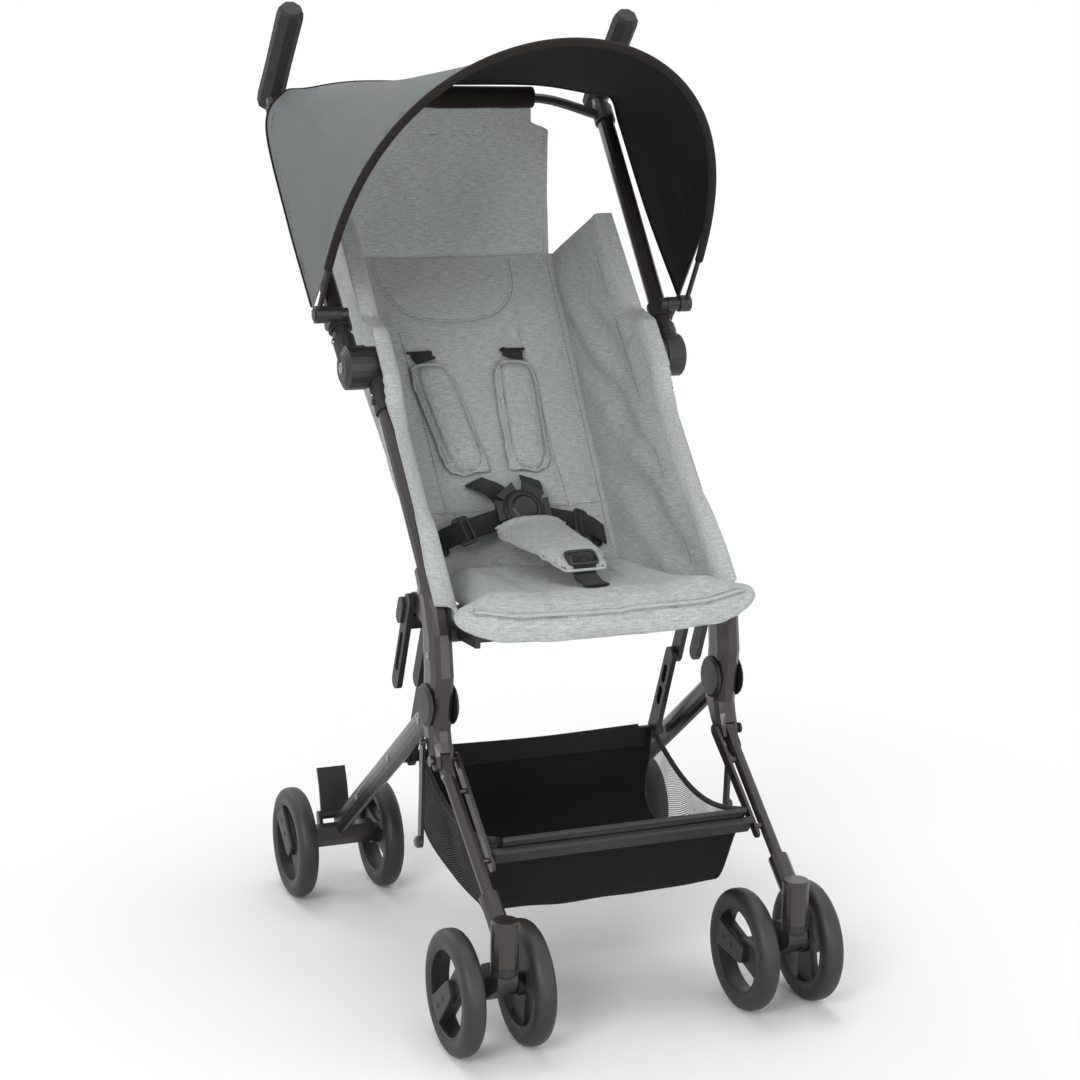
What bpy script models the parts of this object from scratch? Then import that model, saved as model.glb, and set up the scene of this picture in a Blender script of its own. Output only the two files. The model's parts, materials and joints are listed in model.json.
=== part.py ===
"""Compact folding stroller: twin-wheel frame, sling seat, harness, basket and canopy.

Metres, +Z up, the child faces -Y and +X is the child's left. Fore-and-aft sizes are
measured from the leg pivot; at the end the whole stroller is moved so that the middle
of its outer box stands over the origin.
"""
from math import atan2, cos, pi, radians, sin, sqrt

import bmesh
import bpy
from mathutils import Matrix, Vector

# Clearances
GAP = 0.0004          # faces that meet or turn on each other
BORE_GAP = 0.0004     # a pin or tube in its hole, on the radius
CLOTH_GAP = 0.0005    # cloth to what carries it

# Wheels
WHEEL_D = 0.127
TYRE_W = 0.023
TREAD_W = 0.012
RIM_R = 0.0455
HUB_R = 0.0120
AXLE_R = 0.0040
BLADE_W = 0.027
BLADE_T = 0.0085
WHEEL_CAP_T = 0.0030
WHEEL_SIDES = 20
REAR_TWIN = 0.103     # between the middles of two twin wheels
FRONT_TWIN = 0.074

# Frame, seen from the side
PIVOT_Z = 0.314       # leg pivot height
REAR_AXLE_BACK = 0.315
CASTER_FWD = 0.185    # swivel axis in front of the leg pivot
CASTER_TRAIL = 0.036
FOOT_FWD = 0.017      # front leg pivot, from the leg pivot
FOOT_DROP = 0.055
MOUTH_BACK = 0.031    # where the seat rail enters the housing
MOUTH_RISE = 0.128
RAIL_ANGLE = radians(48.0)
RAIL_L = 0.257        # mouth to hinge
HANDLE_L = 0.378      # hinge to elbow
HEAD_Z = 0.1245       # middle of the caster head

# Frame, seen from the front
RAIL_X = 0.163
UPPER_X = 0.190
GRIP_X = 0.203
CASTER_X = 0.160
REAR_X = 0.1695

# Tubes and housings
TUBE_R = 0.010
SOCKET_WALL = 0.0032
HOUSING_T = 0.025
HOUSING_W = 0.045
MOUTH_DEPTH = 0.030
LEG_W = 0.028
LEG_T = 0.014
FRONT_TUBE_R = 0.0065
SLEEVE_R = 0.0105
SLEEVE_L = 0.046
HEAD_R = 0.014
HEAD_L = 0.047
STEM_R = 0.0048
PIVOT_PIN_R = 0.005
COVER_R = 0.0225
COVER_T = 0.0042
FOOT_PIN_R = 0.003
TONGUE_T = 0.010
TONGUE_R = 0.009
INNER_BAR_W = 0.010
INNER_BAR_T = 0.0035

# Folding strut
STRUT_BACK = 0.053    # its top pivot, from the leg pivot
STRUT_RISE = 0.097
STRUT_UPPER_L = 0.1025
STRUT_ON_LEG = 0.162  # leg pivot to the strut's foot, along the rear leg
STRUT_T = 0.006
STRUT_W = 0.018
STRUT_PIN_R = 0.0035
BAR_R = 0.0065        # cross bar between the rear legs

# Hinge of the handle
HINGE_IN_R = 0.0225
HINGE_OUT_R = 0.0240
HINGE_IN_W = 0.0245
HINGE_OUT_W = 0.0255
HINGE_PIN_R = 0.006
HINGE_SLEEVE_L = 0.036

# Handle
GRIP_ANGLE = radians(131.0)
GRIP_UP = 0.124
GRIP_DOWN = 0.019
GRIP_R = 0.0140
BUTTON_L = 0.024
BUTTON_W = 0.011
BUTTON_T = 0.006
BUTTON_TRAVEL = 0.003
CROSS_R = 0.008
CROSS_CLEAR = 0.0075    # between the grip and the crossbar's collar
CROSS_RISE = 0.020
CROSS_HUB_R = 0.0115

# Basket hanger
HANGER_L = 0.109
HANGER_W = 0.009
HANGER_T = 0.0035
KNOB_R = 0.0065

# Seat
BACK_DEPTH = 0.127    # rail line to the back panel, square to the rails
BACK_LOW = 0.062      # lower and upper edges of the back, along the rails
BACK_TOP = 0.489
BACK_HALF_TOP = 0.147
BACK_HALF_LOW = 0.116
WING_SIDE_X = 0.1475
WING_TURN = radians(104.0)  # how far the wing's border rounds the rail
WING_PEAK = 0.452
CLOTH_T = 0.0040
CUSHION_T = 0.040
CUSHION_HALF = 0.178
CUSHION_CUP = 0.007      # how far its front corners stand up
CUSHION_HALF_BACK = 0.136
CUSHION_HALF_END = 0.110
CUSHION_FRONT = 0.078  # in front of the leg pivot
CUSHION_BACK = 0.156   # behind the leg pivot
SEAT_FRONT_Z = 0.4120  # middle of the cushion at its front and back edges
SEAT_BACK_Z = 0.4000
LIP_DROP = 0.020        # how far the cushion's front hangs under its middle
BOARD_T = 0.005
BOARD_HALF = 0.144

# Harness
PAD_L = 0.158
PAD_W = 0.058
PAD_T = 0.014
WEB_T = 0.0022
WEB_W = 0.025
BUCKLE_R = 0.024
BUCKLE_T = 0.015
BUCKLE_BUTTON_R = 0.0155
BUCKLE_TRAVEL = 0.002
CROTCH_W = 0.096
CROTCH_Y = -0.030        # where the crotch strap goes into the cushion

# Canopy
CLIP_ON_TUBE = 0.0585   # hinge to the clip, along the handle tube
CLIP_FWD = 0.0165
CLIP_R = 0.0095
CLIP_X = 0.2205
BOW_R = 0.0032
BOW_HALF = 0.2185
BOW_H = 0.342
BOW_ANGLE = radians(121.7)
BOW_SHAPE = 2.75
CANOPY_T = 0.0016
CANOPY_SIDE_X = 0.2195
FLAP_HALF_TOP = 0.131
FLAP_HALF_LOW = 0.146
FLAP_T = 0.0030

# Basket
BASKET_HALF = 0.1385
BASKET_T = 0.0022
BASKET_FLOOR_Z = 0.110
STRIP_ON_LEG = 0.119    # foot pivot to the front strip, along the front leg
STRIP_W = 0.034
STRIP_T = 0.008

# Derived places, seen from the side as (y, z)
AXLE_Z = WHEEL_D / 2
PIVOT = Vector((0.0, 0.0, PIVOT_Z))
FOOT = Vector((0.0, -FOOT_FWD, PIVOT_Z - FOOT_DROP))
MOUTH = Vector((0.0, MOUTH_BACK, PIVOT_Z + MOUTH_RISE))
ALONG = Vector((0.0, cos(RAIL_ANGLE), sin(RAIL_ANGLE)))
BEHIND = Vector((0.0, sin(RAIL_ANGLE), -cos(RAIL_ANGLE)))
HINGE = MOUTH + RAIL_L * ALONG
ELBOW = HINGE + HANDLE_L * ALONG
REAR_AXLE = Vector((0.0, REAR_AXLE_BACK, AXLE_Z))
SWIVEL = Vector((0.0, -CASTER_FWD, HEAD_Z))
FRONT_AXLE = Vector((0.0, CASTER_TRAIL - CASTER_FWD, AXLE_Z))
LEG_END = REAR_AXLE + Vector((0.0, 0.0, 0.0125))
LEG_WAY = (LEG_END - PIVOT).normalized()
STRUT_TOP = PIVOT + Vector((0.0, STRUT_BACK, STRUT_RISE))
STRUT_FOOT = PIVOT + STRUT_ON_LEG * LEG_WAY
STRUT_WAY = (STRUT_FOOT - STRUT_TOP).normalized()
STRUT_KNEE = STRUT_TOP + STRUT_UPPER_L * STRUT_WAY
FRONT_WAY = (SWIVEL - FOOT).normalized()
FRONT_L = (SWIVEL - FOOT).length
CLIP = HINGE + CLIP_ON_TUBE * ALONG - CLIP_FWD * BEHIND
BOW_WAY = Vector((0.0, cos(BOW_ANGLE), sin(BOW_ANGLE)))
CROSS_ON_TUBE = HANDLE_L - GRIP_R - CROSS_CLEAR - CROSS_HUB_R
CROSS = HINGE + CROSS_ON_TUBE * ALONG
GRIP_WAY = Vector((0.0, cos(GRIP_ANGLE), sin(GRIP_ANGLE)))
HOUSING_IN = RAIL_X - HOUSING_T / 2
HOUSING_OUT = RAIL_X + HOUSING_T / 2
LEG_IN = RAIL_X - LEG_T / 2
LEG_OUT = RAIL_X + LEG_T / 2
HINGE_IN_X0 = HOUSING_IN + 0.0005
HINGE_SPLIT = HINGE_IN_X0 + HINGE_IN_W
SOCKET_R = TUBE_R + SOCKET_WALL
X_AXIS = Vector((1.0, 0.0, 0.0))


def at(point, x):
    return Vector((x, point.y, point.z))


def turn(angle):
    """Unit vector in the side view, measured from the rear (+Y) towards +Z."""
    return Vector((0.0, cos(angle), sin(angle)))


# Scene, materials and joint axes

for old in list(bpy.data.objects):
    bpy.data.objects.remove(old, do_unlink=True)
PARTS = bpy.data.collections.new("stroller")
WORK = bpy.data.collections.new("shaping")
bpy.context.scene.collection.children.link(PARTS)
bpy.context.scene.collection.children.link(WORK)


def srgb(*rgb):
    out = []
    for value in rgb:
        value /= 255.0
        out.append(value / 12.92 if value <= 0.04045 else ((value + 0.055) / 1.055) ** 2.4)
    return (*out, 1.0)


def material(name, rgb, roughness, metallic=0.0):
    made = bpy.data.materials.new(name)
    made.use_nodes = True
    shader = made.node_tree.nodes["Principled BSDF"]
    shader.inputs["Base Color"].default_value = srgb(*rgb)
    shader.inputs["Roughness"].default_value = roughness
    shader.inputs["Metallic"].default_value = metallic
    made.diffuse_color = srgb(*rgb)
    return made


FRAME = material("painted_frame", (62, 56, 54), 0.42, 0.55)
PLASTIC = material("black_plastic", (40, 38, 38), 0.5)
TYRE = material("wheel_rubber", (45, 43, 42), 0.55)
GREY = material("melange_cloth", (146, 158, 156), 0.95)
BLACK = material("black_cloth", (32, 32, 33), 0.92)
SHADE = material("canopy_cloth", (92, 99, 100), 0.88)
WEBBING = material("webbing", (28, 28, 29), 0.7)


def empty(name, point, parent=None):
    made = bpy.data.objects.new(name, None)
    made.empty_display_size = 0.03
    PARTS.objects.link(made)
    made.parent = parent
    made.location = point - world_place(parent)
    return made


def world_place(obj):
    place = Vector((0.0, 0.0, 0.0))
    while obj is not None:
        place += obj.location
        obj = obj.parent
    return place


# Shaping tools. Each returns an object in the work collection, in place.

def work_object(mesh_or_curve, matrix=None):
    made = bpy.data.objects.new("work", mesh_or_curve)
    made.hide_render = True
    made.display_type = "WIRE"
    WORK.objects.link(made)
    if matrix is not None:
        made.matrix_world = matrix
    return made


def baked(obj):
    """The object's evaluated mesh in world space; the object is removed."""
    bpy.context.view_layer.update()
    graph = bpy.context.evaluated_depsgraph_get()
    mesh = bpy.data.meshes.new_from_object(obj.evaluated_get(graph))
    mesh.transform(obj.matrix_world)
    form = bmesh.new()
    form.from_mesh(mesh)
    bmesh.ops.remove_doubles(form, verts=form.verts, dist=1e-6)
    form.to_mesh(mesh)
    form.free()
    bpy.data.objects.remove(obj, do_unlink=True)
    return mesh


def from_bmesh(form, matrix=None):
    mesh = bpy.data.meshes.new("form")
    bmesh.ops.recalc_face_normals(form, faces=form.faces)
    form.to_mesh(mesh)
    form.free()
    return work_object(mesh, matrix)


def frame_along(way):
    """Rotation whose Z runs along way and whose X stays as near +X as it can."""
    z = way.normalized()
    x = X_AXIS - X_AXIS.dot(z) * z
    if x.length < 1e-6:
        x = Vector((0.0, 1.0, 0.0))
    x.normalize()
    y = z.cross(x)
    return Matrix((x, y, z)).transposed().to_4x4()


def cylinder(start, end, radius, sides=16, radius_end=None, flat=1.0):
    """A round bar from start to end; flat squeezes it along its own X."""
    form = bmesh.new()
    way = end - start
    bmesh.ops.create_cone(
        form, cap_ends=True, segments=sides, radius1=radius,
        radius2=radius if radius_end is None else radius_end, depth=way.length,
    )
    bmesh.ops.scale(form, vec=(flat, 1.0, 1.0), verts=form.verts)
    place = Matrix.Translation((start + end) / 2) @ frame_along(way)
    return from_bmesh(form, place)


def box(size, centre, way=None, bevel=0.0, segments=2):
    form = bmesh.new()
    bmesh.ops.create_cube(form, size=1.0)
    bmesh.ops.scale(form, vec=size, verts=form.verts)
    place = Matrix.Translation(centre)
    if way is not None:
        place = place @ frame_along(way)
    made = from_bmesh(form, place)
    if bevel:
        rounded(made, bevel, segments)
    return made


def rounded(obj, width, segments=2, angle=35.0):
    bevel = obj.modifiers.new("edges", "BEVEL")
    bevel.width = width
    bevel.segments = segments
    bevel.limit_method = "ANGLE"
    bevel.angle_limit = radians(angle)
    return obj


def plate(outline, x0, x1, bevel=0.0, segments=1):
    """A flat plate between x0 and x1, its outline given as (y, z) points."""
    curve = bpy.data.curves.new("outline", "CURVE")
    curve.dimensions = "2D"
    curve.fill_mode = "BOTH"
    curve.extrude = abs(x1 - x0) / 2
    spline = curve.splines.new("POLY")
    spline.points.add(len(outline) - 1)
    for point, (y, z) in zip(spline.points, outline):
        point.co = (y, z, 0.0, 1.0)
    spline.use_cyclic_u = True
    side = Matrix(((0, 0, 1, 0), (1, 0, 0, 0), (0, 1, 0, 0), (0, 0, 0, 1)))
    made = work_object(curve, Matrix.Translation(((x0 + x1) / 2, 0.0, 0.0)) @ side)
    made = work_object(baked(made))
    if bevel:
        rounded(made, bevel, segments)
    return made


def capsule_outline(a, b, ra, rb=None, steps=5):
    """Outline of a bar with round ends between two side-view points."""
    rb = ra if rb is None else rb
    way = b - a
    heading = atan2(way.z, way.y)
    out = []
    for i in range(steps + 1):
        angle = heading - pi / 2 + pi * i / steps
        spot = b + rb * turn(angle)
        out.append((spot.y, spot.z))
    for i in range(steps + 1):
        angle = heading + pi / 2 + pi * i / steps
        spot = a + ra * turn(angle)
        out.append((spot.y, spot.z))
    return out


def rod(points, radius, resolution=3):
    curve = bpy.data.curves.new("rod", "CURVE")
    curve.dimensions = "3D"
    curve.bevel_depth = radius
    curve.bevel_resolution = resolution
    curve.use_fill_caps = True
    spline = curve.splines.new("POLY")
    spline.points.add(len(points) - 1)
    for spot, point in zip(spline.points, points):
        spot.co = (*point, 1.0)
    return work_object(baked(work_object(curve)))


def turned(profile, centre, way, steps=24):
    """A turned solid: profile is (radius, height) from the top down."""
    mesh = bpy.data.meshes.new("profile")
    closed = profile[0][0] > 0 and profile[-1][0] > 0
    edges = [(i, i + 1) for i in range(len(profile) - 1)]
    if closed:
        edges.append((len(profile) - 1, 0))
    mesh.from_pydata([(r, 0.0, h) for r, h in profile], edges, [])
    made = work_object(mesh, Matrix.Translation(centre) @ frame_along(way))
    screw = made.modifiers.new("turn", "SCREW")
    screw.axis = "Z"
    screw.steps = steps
    screw.render_steps = steps
    screw.use_merge_vertices = True
    screw.merge_threshold = 0.00001
    mesh = baked(made)
    form = bmesh.new()
    form.from_mesh(mesh)
    return from_bmesh(form)


def loft(rings):
    """A closed skin through rings of equally many points, both ends capped."""
    form = bmesh.new()
    made = [[form.verts.new(p) for p in ring] for ring in rings]
    count = len(rings[0])
    for a, b in zip(made, made[1:]):
        for i in range(count):
            j = (i + 1) % count
            form.faces.new((a[i], a[j], b[j], b[i]))
    form.faces.new(made[0][::-1])
    form.faces.new(made[-1])
    return from_bmesh(form)


def oval(centre, across, upward, half_across, half_up, sides=16, power=2.0):
    """A ring of points: an ellipse at power 2, squarer above it."""
    out = []
    for i in range(sides):
        angle = 2 * pi * (i + 0.5) / sides
        c, s = cos(angle), sin(angle)
        c = (abs(c) ** (2 / power)) * (1 if c >= 0 else -1)
        s = (abs(s) ** (2 / power)) * (1 if s >= 0 else -1)
        out.append(centre + half_across * c * across + half_up * s * upward)
    return out


def sheet(rows, thickness, offset=0.0):
    """A cloth of even thickness from a grid of points."""
    form = bmesh.new()
    made = [[form.verts.new(p) for p in row] for row in rows]
    for a, b in zip(made, made[1:]):
        for i in range(len(a) - 1):
            form.faces.new((a[i], a[i + 1], b[i + 1], b[i]))
    mesh = bpy.data.meshes.new("cloth")
    form.to_mesh(mesh)
    form.free()
    obj = work_object(mesh)
    solid = obj.modifiers.new("thickness", "SOLIDIFY")
    solid.thickness = thickness
    solid.offset = offset
    solid.use_even_offset = False
    return obj


def pillow(top, bottom):
    """A closed pad from two grids of points that share their border."""
    form = bmesh.new()
    last_row = len(top) - 1
    last = len(top[0]) - 1
    upper = [[form.verts.new(p) for p in row] for row in top]
    lower = []
    for i, row in enumerate(bottom):
        out = []
        for j, p in enumerate(row):
            border = i in (0, last_row) or j in (0, last)
            out.append(upper[i][j] if border else form.verts.new(p))
        lower.append(out)
    for grid, flip in ((upper, False), (lower, True)):
        for a, b in zip(grid, grid[1:]):
            for i in range(last):
                face = (a[i], a[i + 1], b[i + 1], b[i])
                form.faces.new(face[::-1] if flip else face)
    return from_bmesh(form)


def smooth_line(points, steps):
    """Points of a Catmull-Rom curve through the given ones."""
    padded = [2 * points[0] - points[1], *points, 2 * points[-1] - points[-2]]
    out = []
    for i in range(len(points) - 1):
        a, b, c, d = padded[i:i + 4]
        for k in range(steps):
            t = k / steps
            out.append(0.5 * (2 * b + (c - a) * t + (2 * a - 5 * b + 4 * c - d) * t * t
                              + (3 * b - a - 3 * c + d) * t ** 3))
    out.append(points[-1])
    return out


def joined(base, adds=(), cuts=()):
    """One mesh: base with the adds united and the cuts taken away."""
    for operation, others in (("UNION", adds), ("DIFFERENCE", cuts)):
        for other in others:
            if other.modifiers:
                mesh = baked(other)
                other = work_object(mesh)
            if base.modifiers and not all(m.type == "BOOLEAN" for m in base.modifiers):
                base = work_object(baked(base))
            step = base.modifiers.new(operation.lower(), "BOOLEAN")
            step.operation = operation
            step.object = other
            step.solver = "EXACT"
    helpers = [m.object for m in base.modifiers if m.type == "BOOLEAN"]
    mesh = baked(base)
    for helper in helpers:
        bpy.data.objects.remove(helper, do_unlink=True)
    return mesh


def piece(name, mesh, skin, origin, parent, smooth=38.0):
    """Puts a world-space mesh into the stroller as a named part with its own origin."""
    if isinstance(mesh, bpy.types.Object):
        mesh = baked(mesh)
    mesh.transform(Matrix.Translation(-origin))
    mesh.name = name
    mesh.materials.clear()
    mesh.materials.append(skin)
    mesh.shade_smooth()
    mesh.set_sharp_from_angle(angle=radians(smooth))
    made = bpy.data.objects.new(name, mesh)
    PARTS.objects.link(made)
    made.parent = parent
    made.location = origin - world_place(parent)
    return made


def flipped(mesh):
    """The same piece for the other side of the stroller."""
    if isinstance(mesh, bpy.types.Object):
        mesh = baked(mesh)
    other = mesh.copy()
    other.transform(Matrix.Scale(-1.0, 4, X_AXIS))
    other.flip_normals()
    return mesh, other


def both(name, mesh, skin, origin, left_parent, right_parent, smooth=38.0):
    """The piece on the child's left (+X) and its mirror image on the right."""
    left, right = flipped(mesh)
    piece(name + "_L", left, skin, origin, left_parent, smooth)
    away = Vector((-origin.x, origin.y, origin.z))
    piece(name + "_R", right, skin, away, right_parent, smooth)


# Joint axes

ROOT = empty("stroller_root", Vector((0.0, 0.0, 0.0)))
REAR = empty("axis_rear_frame", PIVOT, ROOT)
FRONT = empty("axis_front_frame", FOOT, ROOT)
HANDLE = empty("axis_handle", HINGE, ROOT)
BOW = empty("axis_canopy_bow", CLIP, HANDLE)
CASTER = {}
for tag, side in (("L", 1), ("R", -1)):
    CASTER[tag] = empty("axis_caster_" + tag, at(SWIVEL, side * CASTER_X), FRONT)


# Leg housings: a curved oval shell from the rail's mouth to the front leg's foot

def housing():
    half = HOUSING_W / 2
    stations = (
        (MOUTH + 0.008 * ALONG, SOCKET_R + 0.0004, SOCKET_R, 2.0),
        (MOUTH, SOCKET_R + 0.0010, SOCKET_R, 2.1),
        (PIVOT + Vector((0, 0.0165, 0.104)), half * 0.80, HOUSING_T / 2, 2.4),
        (PIVOT + Vector((0, 0.0040, 0.071)), half * 0.95, HOUSING_T / 2, 2.7),
        (PIVOT + Vector((0, -0.0020, 0.033)), half, HOUSING_T / 2, 2.8),
        (PIVOT + Vector((0, 0.0030, -0.026)), half * 0.88, HOUSING_T / 2, 2.7),
        (FOOT + Vector((0, 0.0105, 0.0110)), half * 0.68, HOUSING_T / 2, 2.5),
        (FOOT + Vector((0, 0.0030, 0.0000)), half * 0.55, HOUSING_T / 2, 2.4),
        (FOOT + Vector((0, -0.0030, -0.0095)), half * 0.38, HOUSING_T / 2 - 0.0015, 2.2),
    )
    rings = []
    for i, (spot, half_w, half_t, power) in enumerate(stations):
        before = stations[max(i - 1, 0)][0]
        after = stations[min(i + 1, len(stations) - 1)][0]
        way = (after - before).normalized()
        front = Vector((0.0, way.z, -way.y))
        rings.append(oval(at(spot, RAIL_X), X_AXIS, front, half_t, half_w, 12, power))
    body = loft(rings)
    lug = plate(
        capsule_outline(PIVOT + Vector((0, 0.021, 0.092)), STRUT_TOP, 0.013, 0.0095),
        LEG_IN + 0.001, HOUSING_OUT - STRUT_T / 2 - GAP,
    )
    bore_r = TUBE_R + BORE_GAP
    bore = cylinder(
        at(MOUTH - (MOUTH_DEPTH - 0.008) * ALONG, RAIL_X),
        at(MOUTH + 0.03 * ALONG, RAIL_X), bore_r, 12)
    pin_hole = cylinder(
        at(PIVOT, HOUSING_IN - 0.01), at(PIVOT, HOUSING_OUT + 0.01), PIVOT_PIN_R + BORE_GAP, 10)
    reach = LEG_W / 2 + 0.0008
    swing = [PIVOT + reach * turn(radians(a)) for a in (90, 125, 160, 195, 232)]
    swing += [PIVOT + Vector((0, 0.055, -0.082)), PIVOT + Vector((0, 0.055, 0.040))]
    leg_slot = plate(
        [(p.y, p.z) for p in swing], LEG_IN - GAP, LEG_OUT + GAP)
    ring = TONGUE_R + 0.0022
    slot = [FOOT + ring * turn(radians(a)) for a in (45, 75, 105, 135, 160)]
    slot += [FOOT + 0.05 * turn(radians(a)) for a in (165, 200, 240, 280, 320, 352)]
    foot_slot = plate(
        [(p.y, p.z) for p in slot],
        RAIL_X - TONGUE_T / 2 - GAP, RAIL_X + TONGUE_T / 2 + GAP)
    near = 0.0132
    trim = [FOOT + near * turn(radians(a)) for a in range(-175, -4, 34)]
    trim += [FOOT + 0.06 * turn(radians(a)) for a in range(-5, -176, -85)]
    foot_trim = plate([(p.y, p.z) for p in trim], HOUSING_IN - 0.01, HOUSING_OUT + 0.01)
    foot_hole = cylinder(
        at(FOOT, HOUSING_IN - 0.01), at(FOOT, HOUSING_OUT + 0.01), FOOT_PIN_R + BORE_GAP, 8)
    lug_hole = cylinder(
        at(STRUT_TOP, HOUSING_IN - 0.01), at(STRUT_TOP, HOUSING_OUT + 0.01),
        STRUT_PIN_R + BORE_GAP, 8)
    return joined(body, [lug], [foot_trim, foot_slot, bore, pin_hole, leg_slot, foot_hole,
                                lug_hole])


both("leg_housing", housing(), FRAME, at(PIVOT, RAIL_X), ROOT, ROOT)

# Pivot covers: a domed disc outside with the pin, and a plain disc inside
pin_end = HOUSING_IN - GAP
face = HOUSING_OUT + GAP
cover = turned(
    [(0.0, COVER_T), (COVER_R * 0.80, COVER_T * 0.86), (COVER_R, COVER_T * 0.30),
     (COVER_R, 0.0), (PIVOT_PIN_R, 0.0),
     (PIVOT_PIN_R, pin_end + 2 * GAP - face), (0.0, pin_end + 2 * GAP - face)],
    at(PIVOT, face), X_AXIS, 18)
both("pivot_cover", cover, PLASTIC, at(PIVOT, face), ROOT, ROOT)
inner_cap = turned(
    [(0.0, COVER_T), (COVER_R * 0.86, COVER_T * 0.80), (COVER_R, COVER_T * 0.30), (COVER_R, 0.0),
     (0.0, 0.0)],
    at(PIVOT, pin_end), -X_AXIS, 18)
both("pivot_cap", inner_cap, PLASTIC, at(PIVOT, pin_end), ROOT, ROOT)

# Seat rails
rail = cylinder(
    at(MOUTH - (MOUTH_DEPTH - 0.008 - GAP) * ALONG, RAIL_X),
    at(HINGE - (HINGE_IN_R - 0.002) * ALONG, RAIL_X), TUBE_R, 12)
both("seat_rail", rail, FRAME, at(MOUTH, RAIL_X), ROOT, ROOT)


# Hinge: the inner half on the seat rail, the outer half with the pin on the handle tube

def hinge_inner():
    drum = turned(
        [(HINGE_IN_R, HINGE_IN_W), (HINGE_IN_R, 0.0015), (HINGE_IN_R - 0.0015, 0.0),
         (HINGE_PIN_R + BORE_GAP, 0.0),
         (HINGE_PIN_R + BORE_GAP, HINGE_IN_W)],
        at(HINGE, HINGE_IN_X0), X_AXIS, 20)
    sleeve = cylinder(
        at(HINGE - (HINGE_IN_R + HINGE_SLEEVE_L) * ALONG, RAIL_X),
        at(HINGE - (HINGE_PIN_R + 0.006) * ALONG, RAIL_X), TUBE_R + 0.0026, 12)
    rivet = cylinder(
        at(HINGE - (HINGE_IN_R + HINGE_SLEEVE_L * 0.62) * ALONG, RAIL_X + TUBE_R + 0.0012),
        at(HINGE - (HINGE_IN_R + HINGE_SLEEVE_L * 0.62) * ALONG, RAIL_X + TUBE_R + 0.0040),
        0.0032, 8)
    bore = cylinder(
        at(HINGE - (HINGE_IN_R + HINGE_SLEEVE_L + 0.01) * ALONG, RAIL_X),
        at(HINGE - (HINGE_IN_R - 0.002 - GAP) * ALONG, RAIL_X), TUBE_R + BORE_GAP, 12)
    return joined(drum, [sleeve, rivet], [bore])


both("hinge_inner", hinge_inner(), PLASTIC, at(HINGE, RAIL_X), ROOT, ROOT)

# The handle tube leans outwards from the hinge to the grip
UPPER_FROM = at(HINGE, UPPER_X)
UPPER_TO = at(ELBOW, GRIP_X)
UPPER_WAY = (UPPER_TO - UPPER_FROM).normalized()
OUT_X0 = HINGE_SPLIT + GAP


def hinge_outer():
    depth = HINGE_IN_W - 0.002
    drum = turned(
        [(0.0, HINGE_OUT_W), (HINGE_OUT_R - 0.0085, HINGE_OUT_W),
         (HINGE_OUT_R, HINGE_OUT_W - 0.0045), (HINGE_OUT_R, 0.0), (HINGE_PIN_R, 0.0),
         (HINGE_PIN_R, -depth), (0.0, -depth)],
        at(HINGE, OUT_X0), X_AXIS, 20)
    top = HINGE_OUT_R + HINGE_SLEEVE_L * 0.42
    sleeve = cylinder(
        UPPER_FROM + 0.008 * UPPER_WAY, UPPER_FROM + top * UPPER_WAY, TUBE_R + 0.0022, 12)
    bore = cylinder(
        UPPER_FROM + (HINGE_OUT_R - 0.004) * UPPER_WAY,
        UPPER_FROM + (top + 0.01) * UPPER_WAY, TUBE_R + BORE_GAP, 12)
    return joined(drum, [sleeve], [bore])


both("hinge_outer", hinge_outer(), PLASTIC, at(HINGE, UPPER_X), HANDLE, HANDLE)
tube_start = UPPER_FROM + (HINGE_OUT_R - 0.004 + GAP) * UPPER_WAY
handle_tube = cylinder(tube_start, UPPER_TO - 0.003 * UPPER_WAY, TUBE_R, 12)
both("handle_tube", handle_tube, FRAME, at(HINGE, UPPER_X), HANDLE, HANDLE)


# Grips: eight-sided, the tube's end in a socket, a push button near the top front

GRIP_SIDE = Vector((0.0, -sin(GRIP_ANGLE), cos(GRIP_ANGLE)))   # the lower, front face
GRIP_FACE = -GRIP_SIDE
BUTTON_AT = UPPER_TO + (GRIP_UP - 0.030) * GRIP_WAY


def grip():
    rings = []
    for reach, scale in ((-GRIP_DOWN, 0.72), (-GRIP_DOWN + 0.003, 0.94), (-0.004, 1.0),
                         (0.045, 0.96), (GRIP_UP - 0.012, 1.0), (GRIP_UP - 0.004, 0.93),
                         (GRIP_UP, 0.74)):
        centre = UPPER_TO + reach * GRIP_WAY
        rings.append(oval(centre, X_AXIS, GRIP_SIDE, GRIP_R * scale * 1.082,
                          GRIP_R * scale * 1.082, 8))
    body = loft(rings)
    socket = cylinder(UPPER_TO - 0.05 * UPPER_WAY, UPPER_TO - (0.003 - GAP) * UPPER_WAY,
                      TUBE_R + BORE_GAP, 12)
    pocket = box((BUTTON_W + 2 * BORE_GAP, BUTTON_T * 2, BUTTON_L + 2 * BORE_GAP),
                 BUTTON_AT + GRIP_R * GRIP_FACE, GRIP_WAY)
    return joined(body, [], [socket, pocket])


both("grip", grip(), PLASTIC, UPPER_TO, HANDLE, HANDLE, 30.0)
BUTTON_MID = BUTTON_AT + (GRIP_R - BUTTON_T / 2 + GAP + 0.0026) * GRIP_FACE
button = box((BUTTON_W, BUTTON_T - BUTTON_TRAVEL + 0.0026, BUTTON_L), BUTTON_MID, GRIP_WAY,
             0.0012, 1)
both("release_button", button, PLASTIC, BUTTON_MID, HANDLE, HANDLE)


# Crossbar between the handle tubes, on two curved arms

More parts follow.
